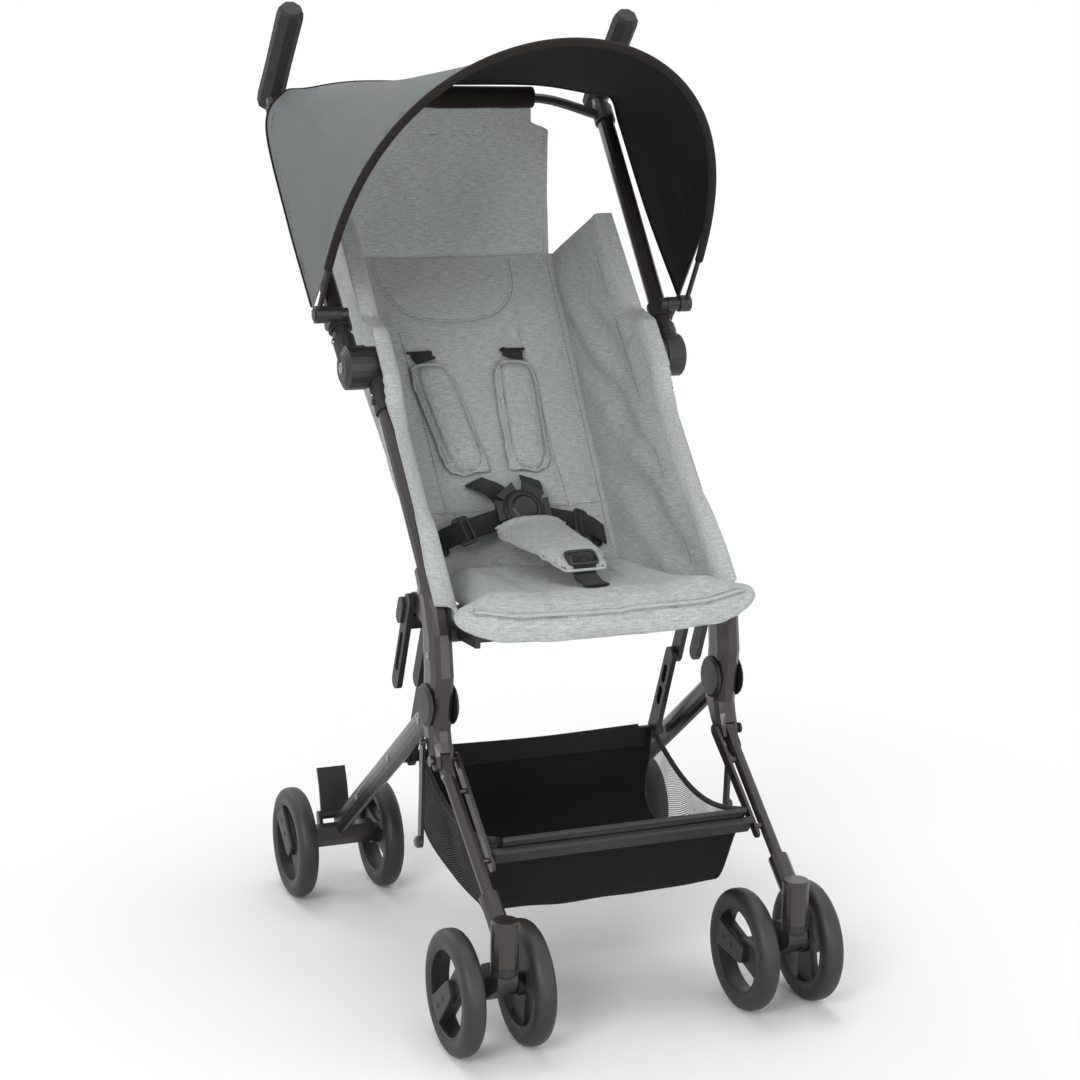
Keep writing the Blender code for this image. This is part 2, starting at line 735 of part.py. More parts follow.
def crossbar():
    mid_y = 0.004
    level = CROSS + Vector((0, mid_y, CROSS_RISE))
    tube = cylinder(at(level, -0.088), at(level, 0.088), CROSS_R, 10)
    adds = []
    x_end = UPPER_X + (GRIP_X - UPPER_X) * CROSS_ON_TUBE / HANDLE_L
    inner = x_end - TUBE_R - 0.0012
    for side in (1, -1):
        path = smooth_line(
            [at(level, side * 0.078), at(level + Vector((0, 0.001, 0.0)), side * 0.120),
             at(level + Vector((0, 0.002, -0.006)), side * 0.152),
             at(CROSS + Vector((0, 0.002, 0.002)), side * inner)], 2)
        rings = []
        for i, spot in enumerate(path):
            way = (path[min(i + 1, len(path) - 1)] - path[max(i - 1, 0)]).normalized()
            across = Vector((0.0, 1.0, 0.0))
            upward = way.cross(across).normalized()
            rings.append(oval(spot, across, upward, 0.0085, 0.0058, 8, 2.8))
        adds.append(loft(rings))
        adds.append(cylinder(at(level, side * 0.072), at(level, side * 0.083), 0.0105, 10))
        collar = cylinder(
            at(CROSS, side * x_end) - 0.011 * at(ALONG, side * 0.0357),
            at(CROSS, side * x_end) + 0.011 * at(ALONG, side * 0.0357),
            TUBE_R + 0.0024, 12)
        adds.append(collar)
    cuts = []
    for side in (1, -1):
        start = UPPER_FROM.copy()
        end = UPPER_FROM + 0.5 * UPPER_WAY
        start.x *= side
        end.x *= side
        cuts.append(cylinder(start, end, TUBE_R + BORE_GAP, 12))
    hub = cylinder(at(level, -0.016), at(level, 0.016), CROSS_HUB_R, 10)
    return joined(tube, adds + [hub], cuts)


piece("handle_crossbar", crossbar(), PLASTIC, CROSS, HANDLE)


# Canopy clips: a collar on the handle tube and a round seat for the bow

CLIP_SPOT = UPPER_FROM + (CLIP_ON_TUBE / UPPER_WAY.dot(ALONG)) * UPPER_WAY


def clip():
    collar = cylinder(CLIP_SPOT - 0.010 * UPPER_WAY, CLIP_SPOT + 0.010 * UPPER_WAY,
                      TUBE_R + 0.0034, 12)
    neck = plate(capsule_outline(CLIP_SPOT, at(CLIP, 0), 0.0085, 0.0070),
                 UPPER_X - 0.004, CLIP_X - 0.0150)
    seat = cylinder(at(CLIP, UPPER_X + 0.004), at(CLIP, CLIP_X - 0.0120), 0.0078, 12)
    pin = cylinder(at(CLIP, CLIP_X - 0.0140), at(CLIP, CLIP_X - 0.0015), 0.0030, 8)
    bore = cylinder(CLIP_SPOT - 0.05 * UPPER_WAY, CLIP_SPOT + 0.05 * UPPER_WAY,
                    TUBE_R + BORE_GAP, 12)
    return joined(collar, [neck, seat, pin], [bore])


both("canopy_clip", clip(), PLASTIC, at(CLIP, UPPER_X), HANDLE, HANDLE)


# Canopy bow: a thin rod bent in one plane, ending in knobs on the clips

def bow_point(angle, grow=0.0):
    """Angle runs from the child's left (0) over the top to the right (pi)."""
    c, s = cos(angle), sin(angle)
    reach = (BOW_H + grow) * abs(s) ** (2 / BOW_SHAPE)
    return CLIP + (BOW_HALF + grow) * c * X_AXIS + reach * BOW_WAY


def bow():
    steps = 24
    line = [bow_point(pi * i / steps) for i in range(1, steps)]
    first = CLIP + BOW_HALF * X_AXIS
    last = CLIP - BOW_HALF * X_AXIS
    wire = rod([first, *line, last], BOW_R, 1)
    knobs = []
    holes = []
    for side in (1, -1):
        knobs.append(cylinder(at(CLIP, side * (CLIP_X - 0.0116)), at(CLIP, side * (CLIP_X + 0.0020)),
                              CLIP_R, 12))
        knobs.append(cylinder(at(CLIP, side * (CLIP_X - 0.0020)), at(CLIP, side * (CLIP_X + 0.0035)),
                              CLIP_R * 0.7, 8))
        holes.append(cylinder(at(CLIP, side * (CLIP_X - 0.0200)), at(CLIP, side * (CLIP_X - 0.0008)),
                              0.0030 + BORE_GAP, 8))
    return joined(wire, knobs, holes)


piece("canopy_bow", bow(), PLASTIC, CLIP, BOW)


# Canopy cloth: stretched from the bow back to the handle tubes and over the crossbar

def canopy():
    clear = BOW_R + CLOTH_GAP + 0.0002
    corner = HINGE + (CROSS_ON_TUBE - 0.019) * ALONG
    roof = CROSS + Vector((0, -0.006, CROSS_RISE + CROSS_R + 0.009))
    start = CLIP + 0.016 * ALONG + 0.010 * BEHIND
    rear = smooth_line(
        [at(start, CANOPY_SIDE_X - 0.0005),
         at(HINGE + 0.53 * HANDLE_L * ALONG + 0.002 * BEHIND, CANOPY_SIDE_X),
         at(corner - 0.002 * BEHIND, CANOPY_SIDE_X - 0.0005),
         at(corner + Vector((0, -0.006, 0.038)), CANOPY_SIDE_X - 0.018),
         at(roof - Vector((0, 0.004, 0.008)), CANOPY_SIDE_X * 0.78),
         at(roof, CANOPY_SIDE_X * 0.50), at(roof, 0.0)], 3)
    rear = rear[:-1] + [rear[-1]] + [at(p, -p.x) for p in rear[-2::-1]]
    count = len(rear)
    rows = []
    across = 6
    for i in range(count):
        share = i / (count - 1)
        angle = pi * (0.060 + 0.880 * share)
        edge = bow_point(angle)
        back = rear[i]
        along = (bow_point(angle + 0.01) - bow_point(angle - 0.01)).normalized()
        away = back - edge
        away = (away - away.dot(along) * along).normalized()
        edge = edge + clear * away
        row = []
        for k in range(across):
            t = k / (across - 1)
            sag = 0.010 * sin(pi * t) * sin(pi * share) ** 0.5
            mid = edge.lerp(back, t)
            pull = Vector((-mid.x * 0.18, 0.0, -1.0)).normalized()
            row.append(mid + sag * pull)
        rows.append(row)
    return sheet(rows, CANOPY_T)


piece("canopy", canopy(), SHADE, HINGE, HANDLE, 60.0)


# Head flap: hangs between the crossbar and the top edge of the back

BACK_EDGE = MOUTH + BACK_TOP * ALONG + BACK_DEPTH * BEHIND


def flap():
    top = CROSS + Vector((0, 0.004, CROSS_RISE - CROSS_HUB_R - CLOTH_GAP))
    low = BACK_EDGE + Vector((0, CLOTH_T + FLAP_T + 0.003, -0.008))
    rows = []
    for i in range(9):
        t = i / 8
        centre = low.lerp(top, t)
        half = FLAP_HALF_LOW + (FLAP_HALF_TOP - FLAP_HALF_LOW) * t
        if t > 0.90:
            half *= 0.83
        row = []
        for j in range(15):
            u = -1 + 2 * j / 14
            fold = 0.0045 * sin(2.6 * pi * u + 0.6) * sin(pi * t) + 0.010 * (1 - u * u) * sin(pi * t)
            row.append(at(centre, u * half) + Vector((0.0, fold, 0.0)))
        rows.append(row)
    return sheet(rows, FLAP_T)


piece("head_flap", flap(), GREY, HINGE, HANDLE, 60.0)


# Seat sling: a back panel with two wings that run forward to the rails in one cloth

def back_plane(a):
    """Depth of the back panel behind the rails; a runs from its middle (0) to its side (1)."""
    return BACK_DEPTH - 0.004 * a * a


def seat_back():
    """Rows follow the rails upwards; each row runs from the left wing to the right."""
    rows = []
    steps = 14
    columns = (0.0, 0.25, 0.50, 0.75, 1.0, 1.16, 1.34, 1.54, 1.75, 1.82, 1.88, 1.94, 2.0)
    columns = [-c for c in columns[:0:-1]] + list(columns)
    for i in range(steps + 1):
        v = i / steps
        row = []
        for u in columns:
            side = 1 if u > 0 else -1
            a = abs(u)
            w = max(0.0, min(1.0, (a - 1.0) / 0.75))
            round_by = max(0.0, (a - 1.75) / 0.25)
            deep = back_plane(min(a, 1.0)) * (1 - w) + edge_depth(0.0) * round_by
            top = BACK_TOP + (WING_PEAK - BACK_TOP) * w
            level = SEAT_BACK_Z + 0.0035 - 0.004 * w + 0.022 * round_by
            low = (level - MOUTH.z - deep * BEHIND.z) / ALONG.z
            s = low + (top - low) * v
            flare = BACK_HALF_TOP - BACK_HALF_LOW
            half = BACK_HALF_LOW + flare * max(0.0, s - BACK_LOW) / (BACK_TOP - BACK_LOW)
            crease = 0.0030 * sin(2.5 * pi * w) * sin(pi * v)
            if a <= 1.0:
                n = back_plane(a) + 0.0015 * sin(3 * pi * v) * (1 - a)
                x = half * a
            else:
                n = back_plane(1.0) * (1 - w)
                wall = half + (WING_SIDE_X - half) * w ** 0.8
                x = wall - crease - 0.0015 * (1 + sin(5 * pi * v + 2 * w)) * sin(pi * w)
                if a > 1.75:
                    out, front = wing_border(s, round_by * WING_TURN)
                    x = out
                    n = front
            row.append(MOUTH + s * ALONG + n * BEHIND + side * x * X_AXIS)
        rows.append(row)
    return sheet(rows, CLOTH_T)


def wing_border(s, angle):
    """Where the border lies as it rounds the rail from its inner side to its front."""
    square = 2.2 if RAIL_FREE[0] < s < RAIL_FREE[1] else 5.0
    c, sn = cos(angle), sin(angle)
    flare = 0.5 + 0.4 * min(1.0, max(0.0, 1 - s / 0.05))
    reach = (RAIL_X - WING_SIDE_X) * abs(c) ** (2 / square) * (1 if c > 0 else -flare)
    return RAIL_X - reach, edge_depth(s) * sn ** (2 / square)


RAIL_FREE = (1.5 * MOUTH_DEPTH, RAIL_L - HINGE_IN_R - HINGE_SLEEVE_L)


def edge_depth(s):
    """The wing's front edge lies before the housing, the rail and the hinge drum."""
    sleeve_from = RAIL_L - HINGE_IN_R - HINGE_SLEEVE_L
    if s < RAIL_FREE[0]:
        front = SOCKET_R + 0.0006
    elif s < sleeve_from - 0.015:
        front = TUBE_R
    elif s < RAIL_L - HINGE_IN_R - 0.008:
        front = TUBE_R + 0.0034
    elif s < RAIL_L + HINGE_IN_R + 0.008:
        front = HINGE_IN_R + 0.0022
    else:
        front = TUBE_R * 0.3
    return -(front + CLOTH_T / 2 + CLOTH_GAP)


piece("seat_back", seat_back(), GREY, MOUTH, ROOT, 60.0)


# Seat board and cushion

def seat_level(y):
    """Height of the cushion's middle plane at a fore-and-aft place."""
    share = (y + CUSHION_FRONT) / (CUSHION_FRONT + CUSHION_BACK)
    return SEAT_FRONT_Z + (SEAT_BACK_Z - SEAT_FRONT_Z) * share


def cushion_crown(u, v):
    """Share of the full thickness across (u from -1 to 1) and along (v from 0 to 1)."""
    return sqrt(max(0.0, (1 - abs(u) ** 12) * (1 - abs(2 * v - 1) ** 10)))


def cushion_rise(u, v):
    """Height of the top over the cushion's middle plane."""
    channel = 0.0035 * (0.5 + 0.5 * cos(4 * pi * u)) * sin(pi * v)
    dip = 0.006 * (1 - u * u) * sin(pi * v)
    lip = 0.006 * max(0.0, 1 - abs(v - 0.16) / 0.16)
    return cushion_crown(u, v) * (CUSHION_T * 0.50 + lip - channel - dip)


def cushion_half(y):
    """Half-width: wide before the housings, narrow between them, tapering to the back."""
    waist = -(HOUSING_W / 2 + 0.0065)
    fade = min(1.0, max(0.0, (y - (waist - 0.030)) / 0.030))
    wide = CUSHION_HALF + (CUSHION_HALF_BACK - CUSHION_HALF) * fade
    taper = max(0.0, (y - waist) / (CUSHION_BACK - waist))
    return wide - (CUSHION_HALF_BACK - CUSHION_HALF_END) * taper


def front_droop(u, v):
    """How far the top's front border rolls down."""
    return 0.010 * (1 - v) ** 8 * (1 - u ** 4)


def cushion_top(x, y):
    v = (y + CUSHION_FRONT) / (CUSHION_FRONT + CUSHION_BACK)
    u = x / cushion_half(y)
    return seat_level(y) + cushion_rise(u, v) - front_droop(u, v)


def cushion():
    length = CUSHION_FRONT + CUSHION_BACK
    rows_top, rows_low = [], []
    across = (0.0, 0.2, 0.4, 0.58, 0.74, 0.86, 0.945, 0.985, 1.0)
    across = [-u for u in across[:0:-1]] + list(across)
    shares = (0.0, 0.016, 0.045, 0.092, 0.17, 0.26, 0.36, 0.46, 0.56, 0.66, 0.76, 0.86, 0.94, 1.0)
    for v in shares:
        y = -CUSHION_FRONT + length * v
        corner = max(0.0, 1 - v / 0.16)
        wide = cushion_half(y) * (1 - 0.15 * (1 - sqrt(1 - corner ** 2)))
        lip = LIP_DROP * max(0.0, 1 - v / 0.09) * (v > 0)
        top, low = [], []
        for u in across:
            bow_out = 0.010 * (1 - u * u) * max(0.0, 1 - v / 0.3)
            spot = Vector((u * wide, y - bow_out, seat_level(y)))
            spot.z += CUSHION_CUP * u ** 4 * (1 - v) ** 2
            top.append(spot + Vector((0, 0, cushion_rise(u, v) - front_droop(u, v))))
            under = cushion_crown(u, v) * CUSHION_T * 0.36 + lip * (1 - u ** 8)
            low.append(spot - Vector((0, 0, under)))
        rows_top.append(top)
        rows_low.append(low)
    return pillow(rows_top, rows_low)


piece("seat_cushion", cushion(), GREY, PIVOT, ROOT, 60.0)


def seat_board():
    """A shallow tray under the cushion on a cross beam between the housings."""
    drop = CUSHION_T * 0.36 + 2 * CLOTH_GAP
    front_y = -(HOUSING_W / 2) - 0.032
    back_y = CUSHION_BACK - 0.044

    def layer(x0, x1, y0, y1, top, low):
        outline = [(y0, seat_level(y0) - drop - low), (y1, seat_level(y1) - drop - low),
                   (y1, seat_level(y1) - drop - top), (y0, seat_level(y0) - drop - top)]
        return plate(outline, x0, x1)

    board = layer(-BOARD_HALF, BOARD_HALF, front_y, back_y, 0.0, BOARD_T)
    rib = BOARD_T - 0.001
    beam = layer(-HOUSING_IN + GAP, HOUSING_IN - GAP, -0.002, 0.022, 0.0015, 0.014)
    adds = [beam]
    for side in (1, -1):
        edges = sorted((side * (BOARD_HALF - 0.001), side * (BOARD_HALF - 0.006)))
        adds.append(layer(*edges, front_y + 0.001, back_y - 0.001, rib, 0.011))
    for x in (-0.09, -0.03, 0.03, 0.09):
        adds.append(layer(x - 0.002, x + 0.002, front_y + 0.002, back_y - 0.002, rib, 0.009))
    return joined(board, adds)


piece("seat_board", seat_board(), PLASTIC, PIVOT, ROOT)


# Rear frame: legs with their axle housings, cross bar, brake pedals and wheels

REAR_OUT = REAR_X + REAR_TWIN / 2
REAR_IN = REAR_X - REAR_TWIN / 2
PEDAL = REAR_AXLE + Vector((0.0, 0.0105, 0.0250))
PEDAL_W = 0.034


def rear_leg():
    end = REAR_AXLE + Vector((0.0, -0.006, 0.017))
    shaft = cylinder(at(PIVOT, RAIL_X), at(end, REAR_X), LEG_W / 2, 14, LEG_W / 2 * 0.93,
                     LEG_T / LEG_W)
    eye = cylinder(at(PIVOT, LEG_IN), at(PIVOT, LEG_OUT), LEG_W / 2, 16)
    side = TYRE_W / 2 + 0.0010
    outline = []
    for a, r in ((0, 0.0130), (45, 0.0135), (90, 0.0145), (135, 0.0200), (180, 0.0180), (225, 0.0145),
                 (270, 0.0120), (315, 0.0125)):
        spot = REAR_AXLE + Vector((0, 0, 0.004)) + r * turn(radians(a))
        outline.append((spot.y, spot.z))
    block = plate(outline, REAR_IN + side, REAR_OUT - side)
    axle = cylinder(at(REAR_AXLE, REAR_IN - 0.0055), at(REAR_AXLE, REAR_OUT + 0.0055), AXLE_R, 10)
    ears = []
    for edge in (-1, 1):
        x = REAR_X + edge * (PEDAL_W / 2 + GAP + 0.002)
        ears.append(plate(capsule_outline(REAR_AXLE + Vector((0, 0.003, 0.010)), PEDAL, 0.007, 0.0055),
                          x - 0.002, x + 0.002))
    pin = cylinder(at(PEDAL, REAR_X - PEDAL_W / 2 - 0.003), at(PEDAL, REAR_X + PEDAL_W / 2 + 0.003),
                   0.0022, 8)
    hole = cylinder(at(PIVOT, LEG_IN - 0.01), at(PIVOT, LEG_OUT + 0.01), PIVOT_PIN_R + BORE_GAP, 10)
    return joined(shaft, [eye, block, axle, *ears, pin], [hole])


both("rear_leg", rear_leg(), FRAME, at(PIVOT, RAIL_X), REAR, REAR)

bar_end = LEG_IN - GAP
rear_bar = cylinder(at(STRUT_FOOT, -bar_end), at(STRUT_FOOT, bar_end), BAR_R, 12)
piece("rear_cross_bar", rear_bar, PLASTIC, STRUT_FOOT, REAR)


def pedal():
    hub = cylinder(at(PEDAL, REAR_X - PEDAL_W / 2), at(PEDAL, REAR_X + PEDAL_W / 2), 0.0050, 12)
    line = [PEDAL, PEDAL + Vector((0, 0.0035, 0.016)), PEDAL + Vector((0, 0.0085, 0.034)),
            PEDAL + Vector((0, 0.0175, 0.052))]
    path = smooth_line(line, 2)
    outline = []
    for sign in (1, -1):
        run = range(len(path)) if sign > 0 else range(len(path) - 1, -1, -1)
        for i in run:
            way = (path[min(i + 1, len(path) - 1)] - path[max(i - 1, 0)]).normalized()
            spot = path[i] + sign * 0.0020 * Vector((0.0, way.z, -way.y))
            outline.append((spot.y, spot.z))
    blade = plate(outline, REAR_X - PEDAL_W / 2, REAR_X + PEDAL_W / 2)
    rib = plate(capsule_outline(path[2], path[-3], 0.0026, 0.0024, 4),
                REAR_X - 0.0018, REAR_X + 0.0018)
    hole = cylinder(at(PEDAL, REAR_X - PEDAL_W), at(PEDAL, REAR_X + PEDAL_W), 0.0022 + BORE_GAP, 8)
    return joined(blade, [hub, rib], [hole])


PEDALS = {}
for tag, side in (("L", 1), ("R", -1)):
    PEDALS[tag] = empty("axis_brake_pedal_" + tag, at(PEDAL, side * REAR_X), REAR)
both("brake_pedal", pedal(), PLASTIC, at(PEDAL, REAR_X), PEDALS["L"], PEDALS["R"])


# Folding strut between the housing and the rear leg, in two bars that meet at the knee

UPPER_IN = HOUSING_OUT - STRUT_T / 2
UPPER_OUT = UPPER_IN + STRUT_T
CHEEK_OUT = LEG_IN - 2 * GAP
CHEEK_IN = CHEEK_OUT - STRUT_T
LOWER_OUT = CHEEK_IN - GAP
LOWER_IN = LOWER_OUT - STRUT_T


def strut_upper():
    """Two cheeks that straddle the folding leg, joined near the top."""
    r = STRUT_W / 2
    outer = plate(capsule_outline(STRUT_TOP, STRUT_KNEE, r * 0.92, r), UPPER_IN, UPPER_OUT)
    inner = plate(capsule_outline(STRUT_TOP, STRUT_KNEE, r * 0.80, r), CHEEK_IN, CHEEK_OUT)
    web = plate(capsule_outline(STRUT_TOP + 0.0205 * STRUT_WAY, STRUT_TOP + 0.029 * STRUT_WAY, r * 0.7),
                CHEEK_IN + 0.001, UPPER_OUT - 0.001)
    side = Vector((0.0, -STRUT_WAY.z, STRUT_WAY.y))
    knob = STRUT_TOP + 0.010 * STRUT_WAY + 0.010 * side
    block = plate(capsule_outline(knob, knob + 0.016 * STRUT_WAY, 0.0075), UPPER_IN + 0.0005,
                  UPPER_OUT + 0.0030)
    pin = cylinder(at(STRUT_TOP, CHEEK_OUT - 0.002), at(STRUT_TOP, UPPER_IN + 0.002), STRUT_PIN_R, 8)
    slot = plate(
        capsule_outline(STRUT_TOP + 0.044 * STRUT_WAY, STRUT_KNEE - 0.018 * STRUT_WAY, 0.0045, None, 3),
        UPPER_OUT - 0.0022, UPPER_OUT + 0.01)
    return joined(outer, [inner, web, block, pin], [slot])


def strut_lower():
    r = STRUT_W / 2
    bar = plate(capsule_outline(STRUT_KNEE, STRUT_FOOT, r, r * 1.15), LOWER_IN, LOWER_OUT)
    cuts = [cylinder(at(STRUT_FOOT, LOWER_IN - 0.01), at(STRUT_FOOT, LOWER_OUT + 0.01),
                     BAR_R + BORE_GAP, 12)]
    length = (STRUT_FOOT - STRUT_KNEE).length
    for k in range(2):
        a = STRUT_KNEE + (0.018 + k * 0.030) * STRUT_WAY
        b = a + 0.16 * length * STRUT_WAY
        cuts.append(plate(capsule_outline(a, b, 0.0042, None, 3), LOWER_IN - 0.01, LOWER_IN + 0.0032))
    return joined(bar, [], cuts)


UPPERS, LOWERS = {}, {}
for tag, side in (("L", 1), ("R", -1)):
    UPPERS[tag] = empty("axis_strut_upper_" + tag, at(STRUT_TOP, side * RAIL_X), ROOT)
    LOWERS[tag] = empty("axis_strut_lower_" + tag, at(STRUT_FOOT, side * RAIL_X), REAR)
both("strut_upper", strut_upper(), PLASTIC, at(STRUT_TOP, RAIL_X), UPPERS["L"], UPPERS["R"])
both("strut_lower", strut_lower(), PLASTIC, at(STRUT_FOOT, RAIL_X), LOWERS["L"], LOWERS["R"])


# Front frame: thin legs with a parallel inner bar, sleeve and caster head

FRONT_SIDE = Vector((0.0, -FRONT_WAY.z, FRONT_WAY.y))


def front_leg():
    start = at(FOOT, RAIL_X)
    end = at(SWIVEL, CASTER_X)
    way = (end - start).normalized()
    tube = cylinder(start + 0.0160 * way, end, FRONT_TUBE_R, 10)
    tongue = plate(capsule_outline(FOOT, FOOT + 0.022 * FRONT_WAY, TONGUE_R, FRONT_TUBE_R),
                   RAIL_X - TONGUE_T / 2, RAIL_X + TONGUE_T / 2)
    sleeve = cylinder(end - (HEAD_R * 0.5 + SLEEVE_L) * way, end, SLEEVE_R, 12)
    head = turned(
        [(0.0, HEAD_L / 2), (HEAD_R - 0.0015, HEAD_L / 2), (HEAD_R, HEAD_L / 2 - 0.0015),
         (HEAD_R, -HEAD_L / 2), (0.0, -HEAD_L / 2)],
        end, Vector((0, 0, 1)), 16)
    bar_out = HOUSING_IN - 0.0008
    bar_in = bar_out - INNER_BAR_T
    bar = plate(capsule_outline(FOOT, FOOT + (STRIP_ON_LEG + 0.012) * FRONT_WAY, 0.0065, INNER_BAR_W / 2),
                bar_in, bar_out)
    adds = [tongue, sleeve, head, bar]
    for reach in (0.040, STRIP_ON_LEG + 0.004):
        spot = FOOT + reach * FRONT_WAY
        adds.append(cylinder(at(spot, bar_out - 0.001), at(spot, RAIL_X - 0.001), 0.0032, 8))
    adds.append(cylinder(at(FOOT, bar_out - 0.001), at(FOOT, HOUSING_OUT + GAP + 0.001), FOOT_PIN_R, 8))
    adds.append(cylinder(at(FOOT, HOUSING_OUT + GAP), at(FOOT, HOUSING_OUT + GAP + 0.0022), 0.0058, 12))
    bore = cylinder(end - Vector((0, 0, HEAD_L)), end + Vector((0, 0, HEAD_L / 2 - 0.010)),
                    STEM_R + BORE_GAP, 10)
    return joined(tube, adds, [bore])


both("front_leg", front_leg(), FRAME, at(FOOT, RAIL_X), FRONT, FRONT)

STRIP = FOOT + STRIP_ON_LEG * FRONT_WAY
strip_end = HOUSING_IN - 0.0008 - INNER_BAR_T - GAP
strip_bar = box((2 * strip_end, STRIP_T, STRIP_W * 0.62), STRIP, FRONT_SIDE, 0.002, 1)
piece("front_cross_bar", strip_bar, PLASTIC, STRIP, FRONT)


def caster():
    top = SWIVEL.z - HEAD_L / 2 - GAP
    crown = at(Vector((0, SWIVEL.y, top)), CASTER_X)
    collar = turned(
        [(0.0, 0.0), (HEAD_R, 0.0), (HEAD_R, -0.0065), (HEAD_R - 0.003, -0.0100), (0.0, -0.0100)],
        crown, Vector((0, 0, 1)), 16)
    stem = cylinder(crown - Vector((0, 0, 0.004)), crown + Vector((0, 0, HEAD_L - 0.0115)), STEM_R, 10)
    neck = Vector((0, SWIVEL.y, top - 0.0135))
    body = plate(
        capsule_outline(neck + Vector((0, 0.002, 0)), FRONT_AXLE, 0.0125, 0.0120, 7),
        CASTER_X - 0.0105, CASTER_X + 0.0105)
    side = FRONT_TWIN / 2 - TYRE_W / 2 - 0.0010
    barrel = cylinder(at(FRONT_AXLE, CASTER_X - side), at(FRONT_AXLE, CASTER_X + side), 0.0105, 12)
    axle = cylinder(at(FRONT_AXLE, CASTER_X - FRONT_TWIN / 2 - 0.0055),
                    at(FRONT_AXLE, CASTER_X + FRONT_TWIN / 2 + 0.0055), AXLE_R, 10)
    guard = plate(
        [(SWIVEL.y + 0.004, top - 0.002), (SWIVEL.y + 0.022, top - 0.004), (SWIVEL.y + 0.040, top - 0.013),
         (SWIVEL.y + 0.050, top - 0.024), (SWIVEL.y + 0.044, top - 0.026), (SWIVEL.y + 0.030, top - 0.017)],
        CASTER_X - 0.0085, CASTER_X + 0.0085)
    return joined(collar, [stem, body, barrel, axle, guard])


both("caster_fork", caster(), PLASTIC, at(SWIVEL, CASTER_X), CASTER["L"], CASTER["R"])


# Wheels: one moulding each, rubber tread on a rim with a broad blade across it

def wheel_mesh():
    """Axis along X, the outer face towards +X."""
    r = WHEEL_D / 2
    flat = r / cos(pi / WHEEL_SIDES)
    w = TYRE_W / 2
    ring = turned(
        [(flat, TREAD_W / 2), (flat, -TREAD_W / 2), (flat - 0.0070, -w), (RIM_R, -w * 0.82),
         (RIM_R, w * 0.82), (flat - 0.0070, w)],
        Vector((0, 0, 0)), X_AXIS, WHEEL_SIDES)
    half = BLADE_W / 2
    outline = []
    reach = RIM_R + 0.0022
    for sign in (1, -1):
        for a in (-34, 0, 34):
            outline.append((sign * reach * cos(radians(a)), sign * reach * sin(radians(a))))
        for share in (0.55, 0.0, -0.55):
            y = sign * share * RIM_R
            outline.append((y, sign * (half + 0.0085 * (y / RIM_R) ** 2)))
    blade = plate(outline, -BLADE_T / 2, BLADE_T / 2)
    boss = cylinder(Vector((-w - 0.0002, 0, 0)), Vector((w * 0.70, 0, 0)), HUB_R, 12)
    cap = plate(
        [(-0.010, -0.0105), (RIM_R - 0.0010, -0.0150), (RIM_R - 0.0010, 0.0150), (-0.010, 0.0105),
         (-0.0135, 0.0060), (-0.0135, -0.0060)],
        BLADE_T / 2 - 0.001, w * 0.70 + WHEEL_CAP_T)
    bore = cylinder(Vector((-0.03, 0, 0)), Vector((0.0055 + GAP, 0, 0)), AXLE_R + BORE_GAP, 8)
    return joined(ring, [blade, boss, cap], [bore])


WHEEL = wheel_mesh()
WHEEL_BACK = WHEEL.copy()
WHEEL_BACK.transform(Matrix.Rotation(pi, 4, "Z"))
facet = 2 * pi / WHEEL_SIDES
wheels = (
    ("rear_wheel_L_outer", REAR_OUT, REAR_AXLE, REAR, 0),
    ("rear_wheel_L_inner", REAR_IN, REAR_AXLE, REAR, 3),
    ("rear_wheel_R_outer", -REAR_OUT, REAR_AXLE, REAR, 2),
    ("rear_wheel_R_inner", -REAR_IN, REAR_AXLE, REAR, 20),
    ("front_wheel_L_outer", CASTER_X + FRONT_TWIN / 2, FRONT_AXLE, CASTER["L"], 4),
    ("front_wheel_L_inner", CASTER_X - FRONT_TWIN / 2, FRONT_AXLE, CASTER["L"], 20),
    ("front_wheel_R_outer", -CASTER_X - FRONT_TWIN / 2, FRONT_AXLE, CASTER["R"], 17),
    ("front_wheel_R_inner", -CASTER_X + FRONT_TWIN / 2, FRONT_AXLE, CASTER["R"], 5),
)
for name, x, axle, parent, clicks in wheels:
    outward = ("outer" in name) == (x > 0)
    made = piece(name, (WHEEL if outward else WHEEL_BACK).copy(), TYRE, Vector((0, 0, 0)), parent)
    made.location = at(axle, x) - world_place(parent)
    made.rotation_euler = ((clicks + 0.5) * facet, 0.0, 0.0)


# Basket hangers: a flat link on each housing that carries the basket's side

HANGER_TOP = FOOT + Vector((0.0, 0.021, 0.014))
HANGER_WAY = turn(radians(-88.0))


def hanger():
    low = HANGER_TOP + HANGER_L * HANGER_WAY
    x0 = HOUSING_OUT + GAP
    link = plate(capsule_outline(HANGER_TOP, low, HANGER_W / 2), x0, x0 + HANGER_T)
    screw = cylinder(at(HANGER_TOP, x0 + 0.001), at(HANGER_TOP, x0 + HANGER_T + 0.0014), 0.0030, 8)
    knob = turned(
        [(0.0, 0.0075), (KNOB_R * 0.7, 0.0070), (KNOB_R, 0.0050), (KNOB_R, 0.0), (0.0, 0.0)],
        at(low, x0 + 0.0010), X_AXIS, 14)
    return joined(link, [screw, knob])


HANGERS = {}
for tag, side in (("L", 1), ("R", -1)):
    HANGERS[tag] = empty("axis_basket_hanger_" + tag, at(HANGER_TOP, side * RAIL_X), ROOT)
both("basket_hanger", hanger(), FRAME, at(HANGER_TOP, RAIL_X), HANGERS["L"], HANGERS["R"])


# Basket: an open bag between the rear cross bar and the front strip

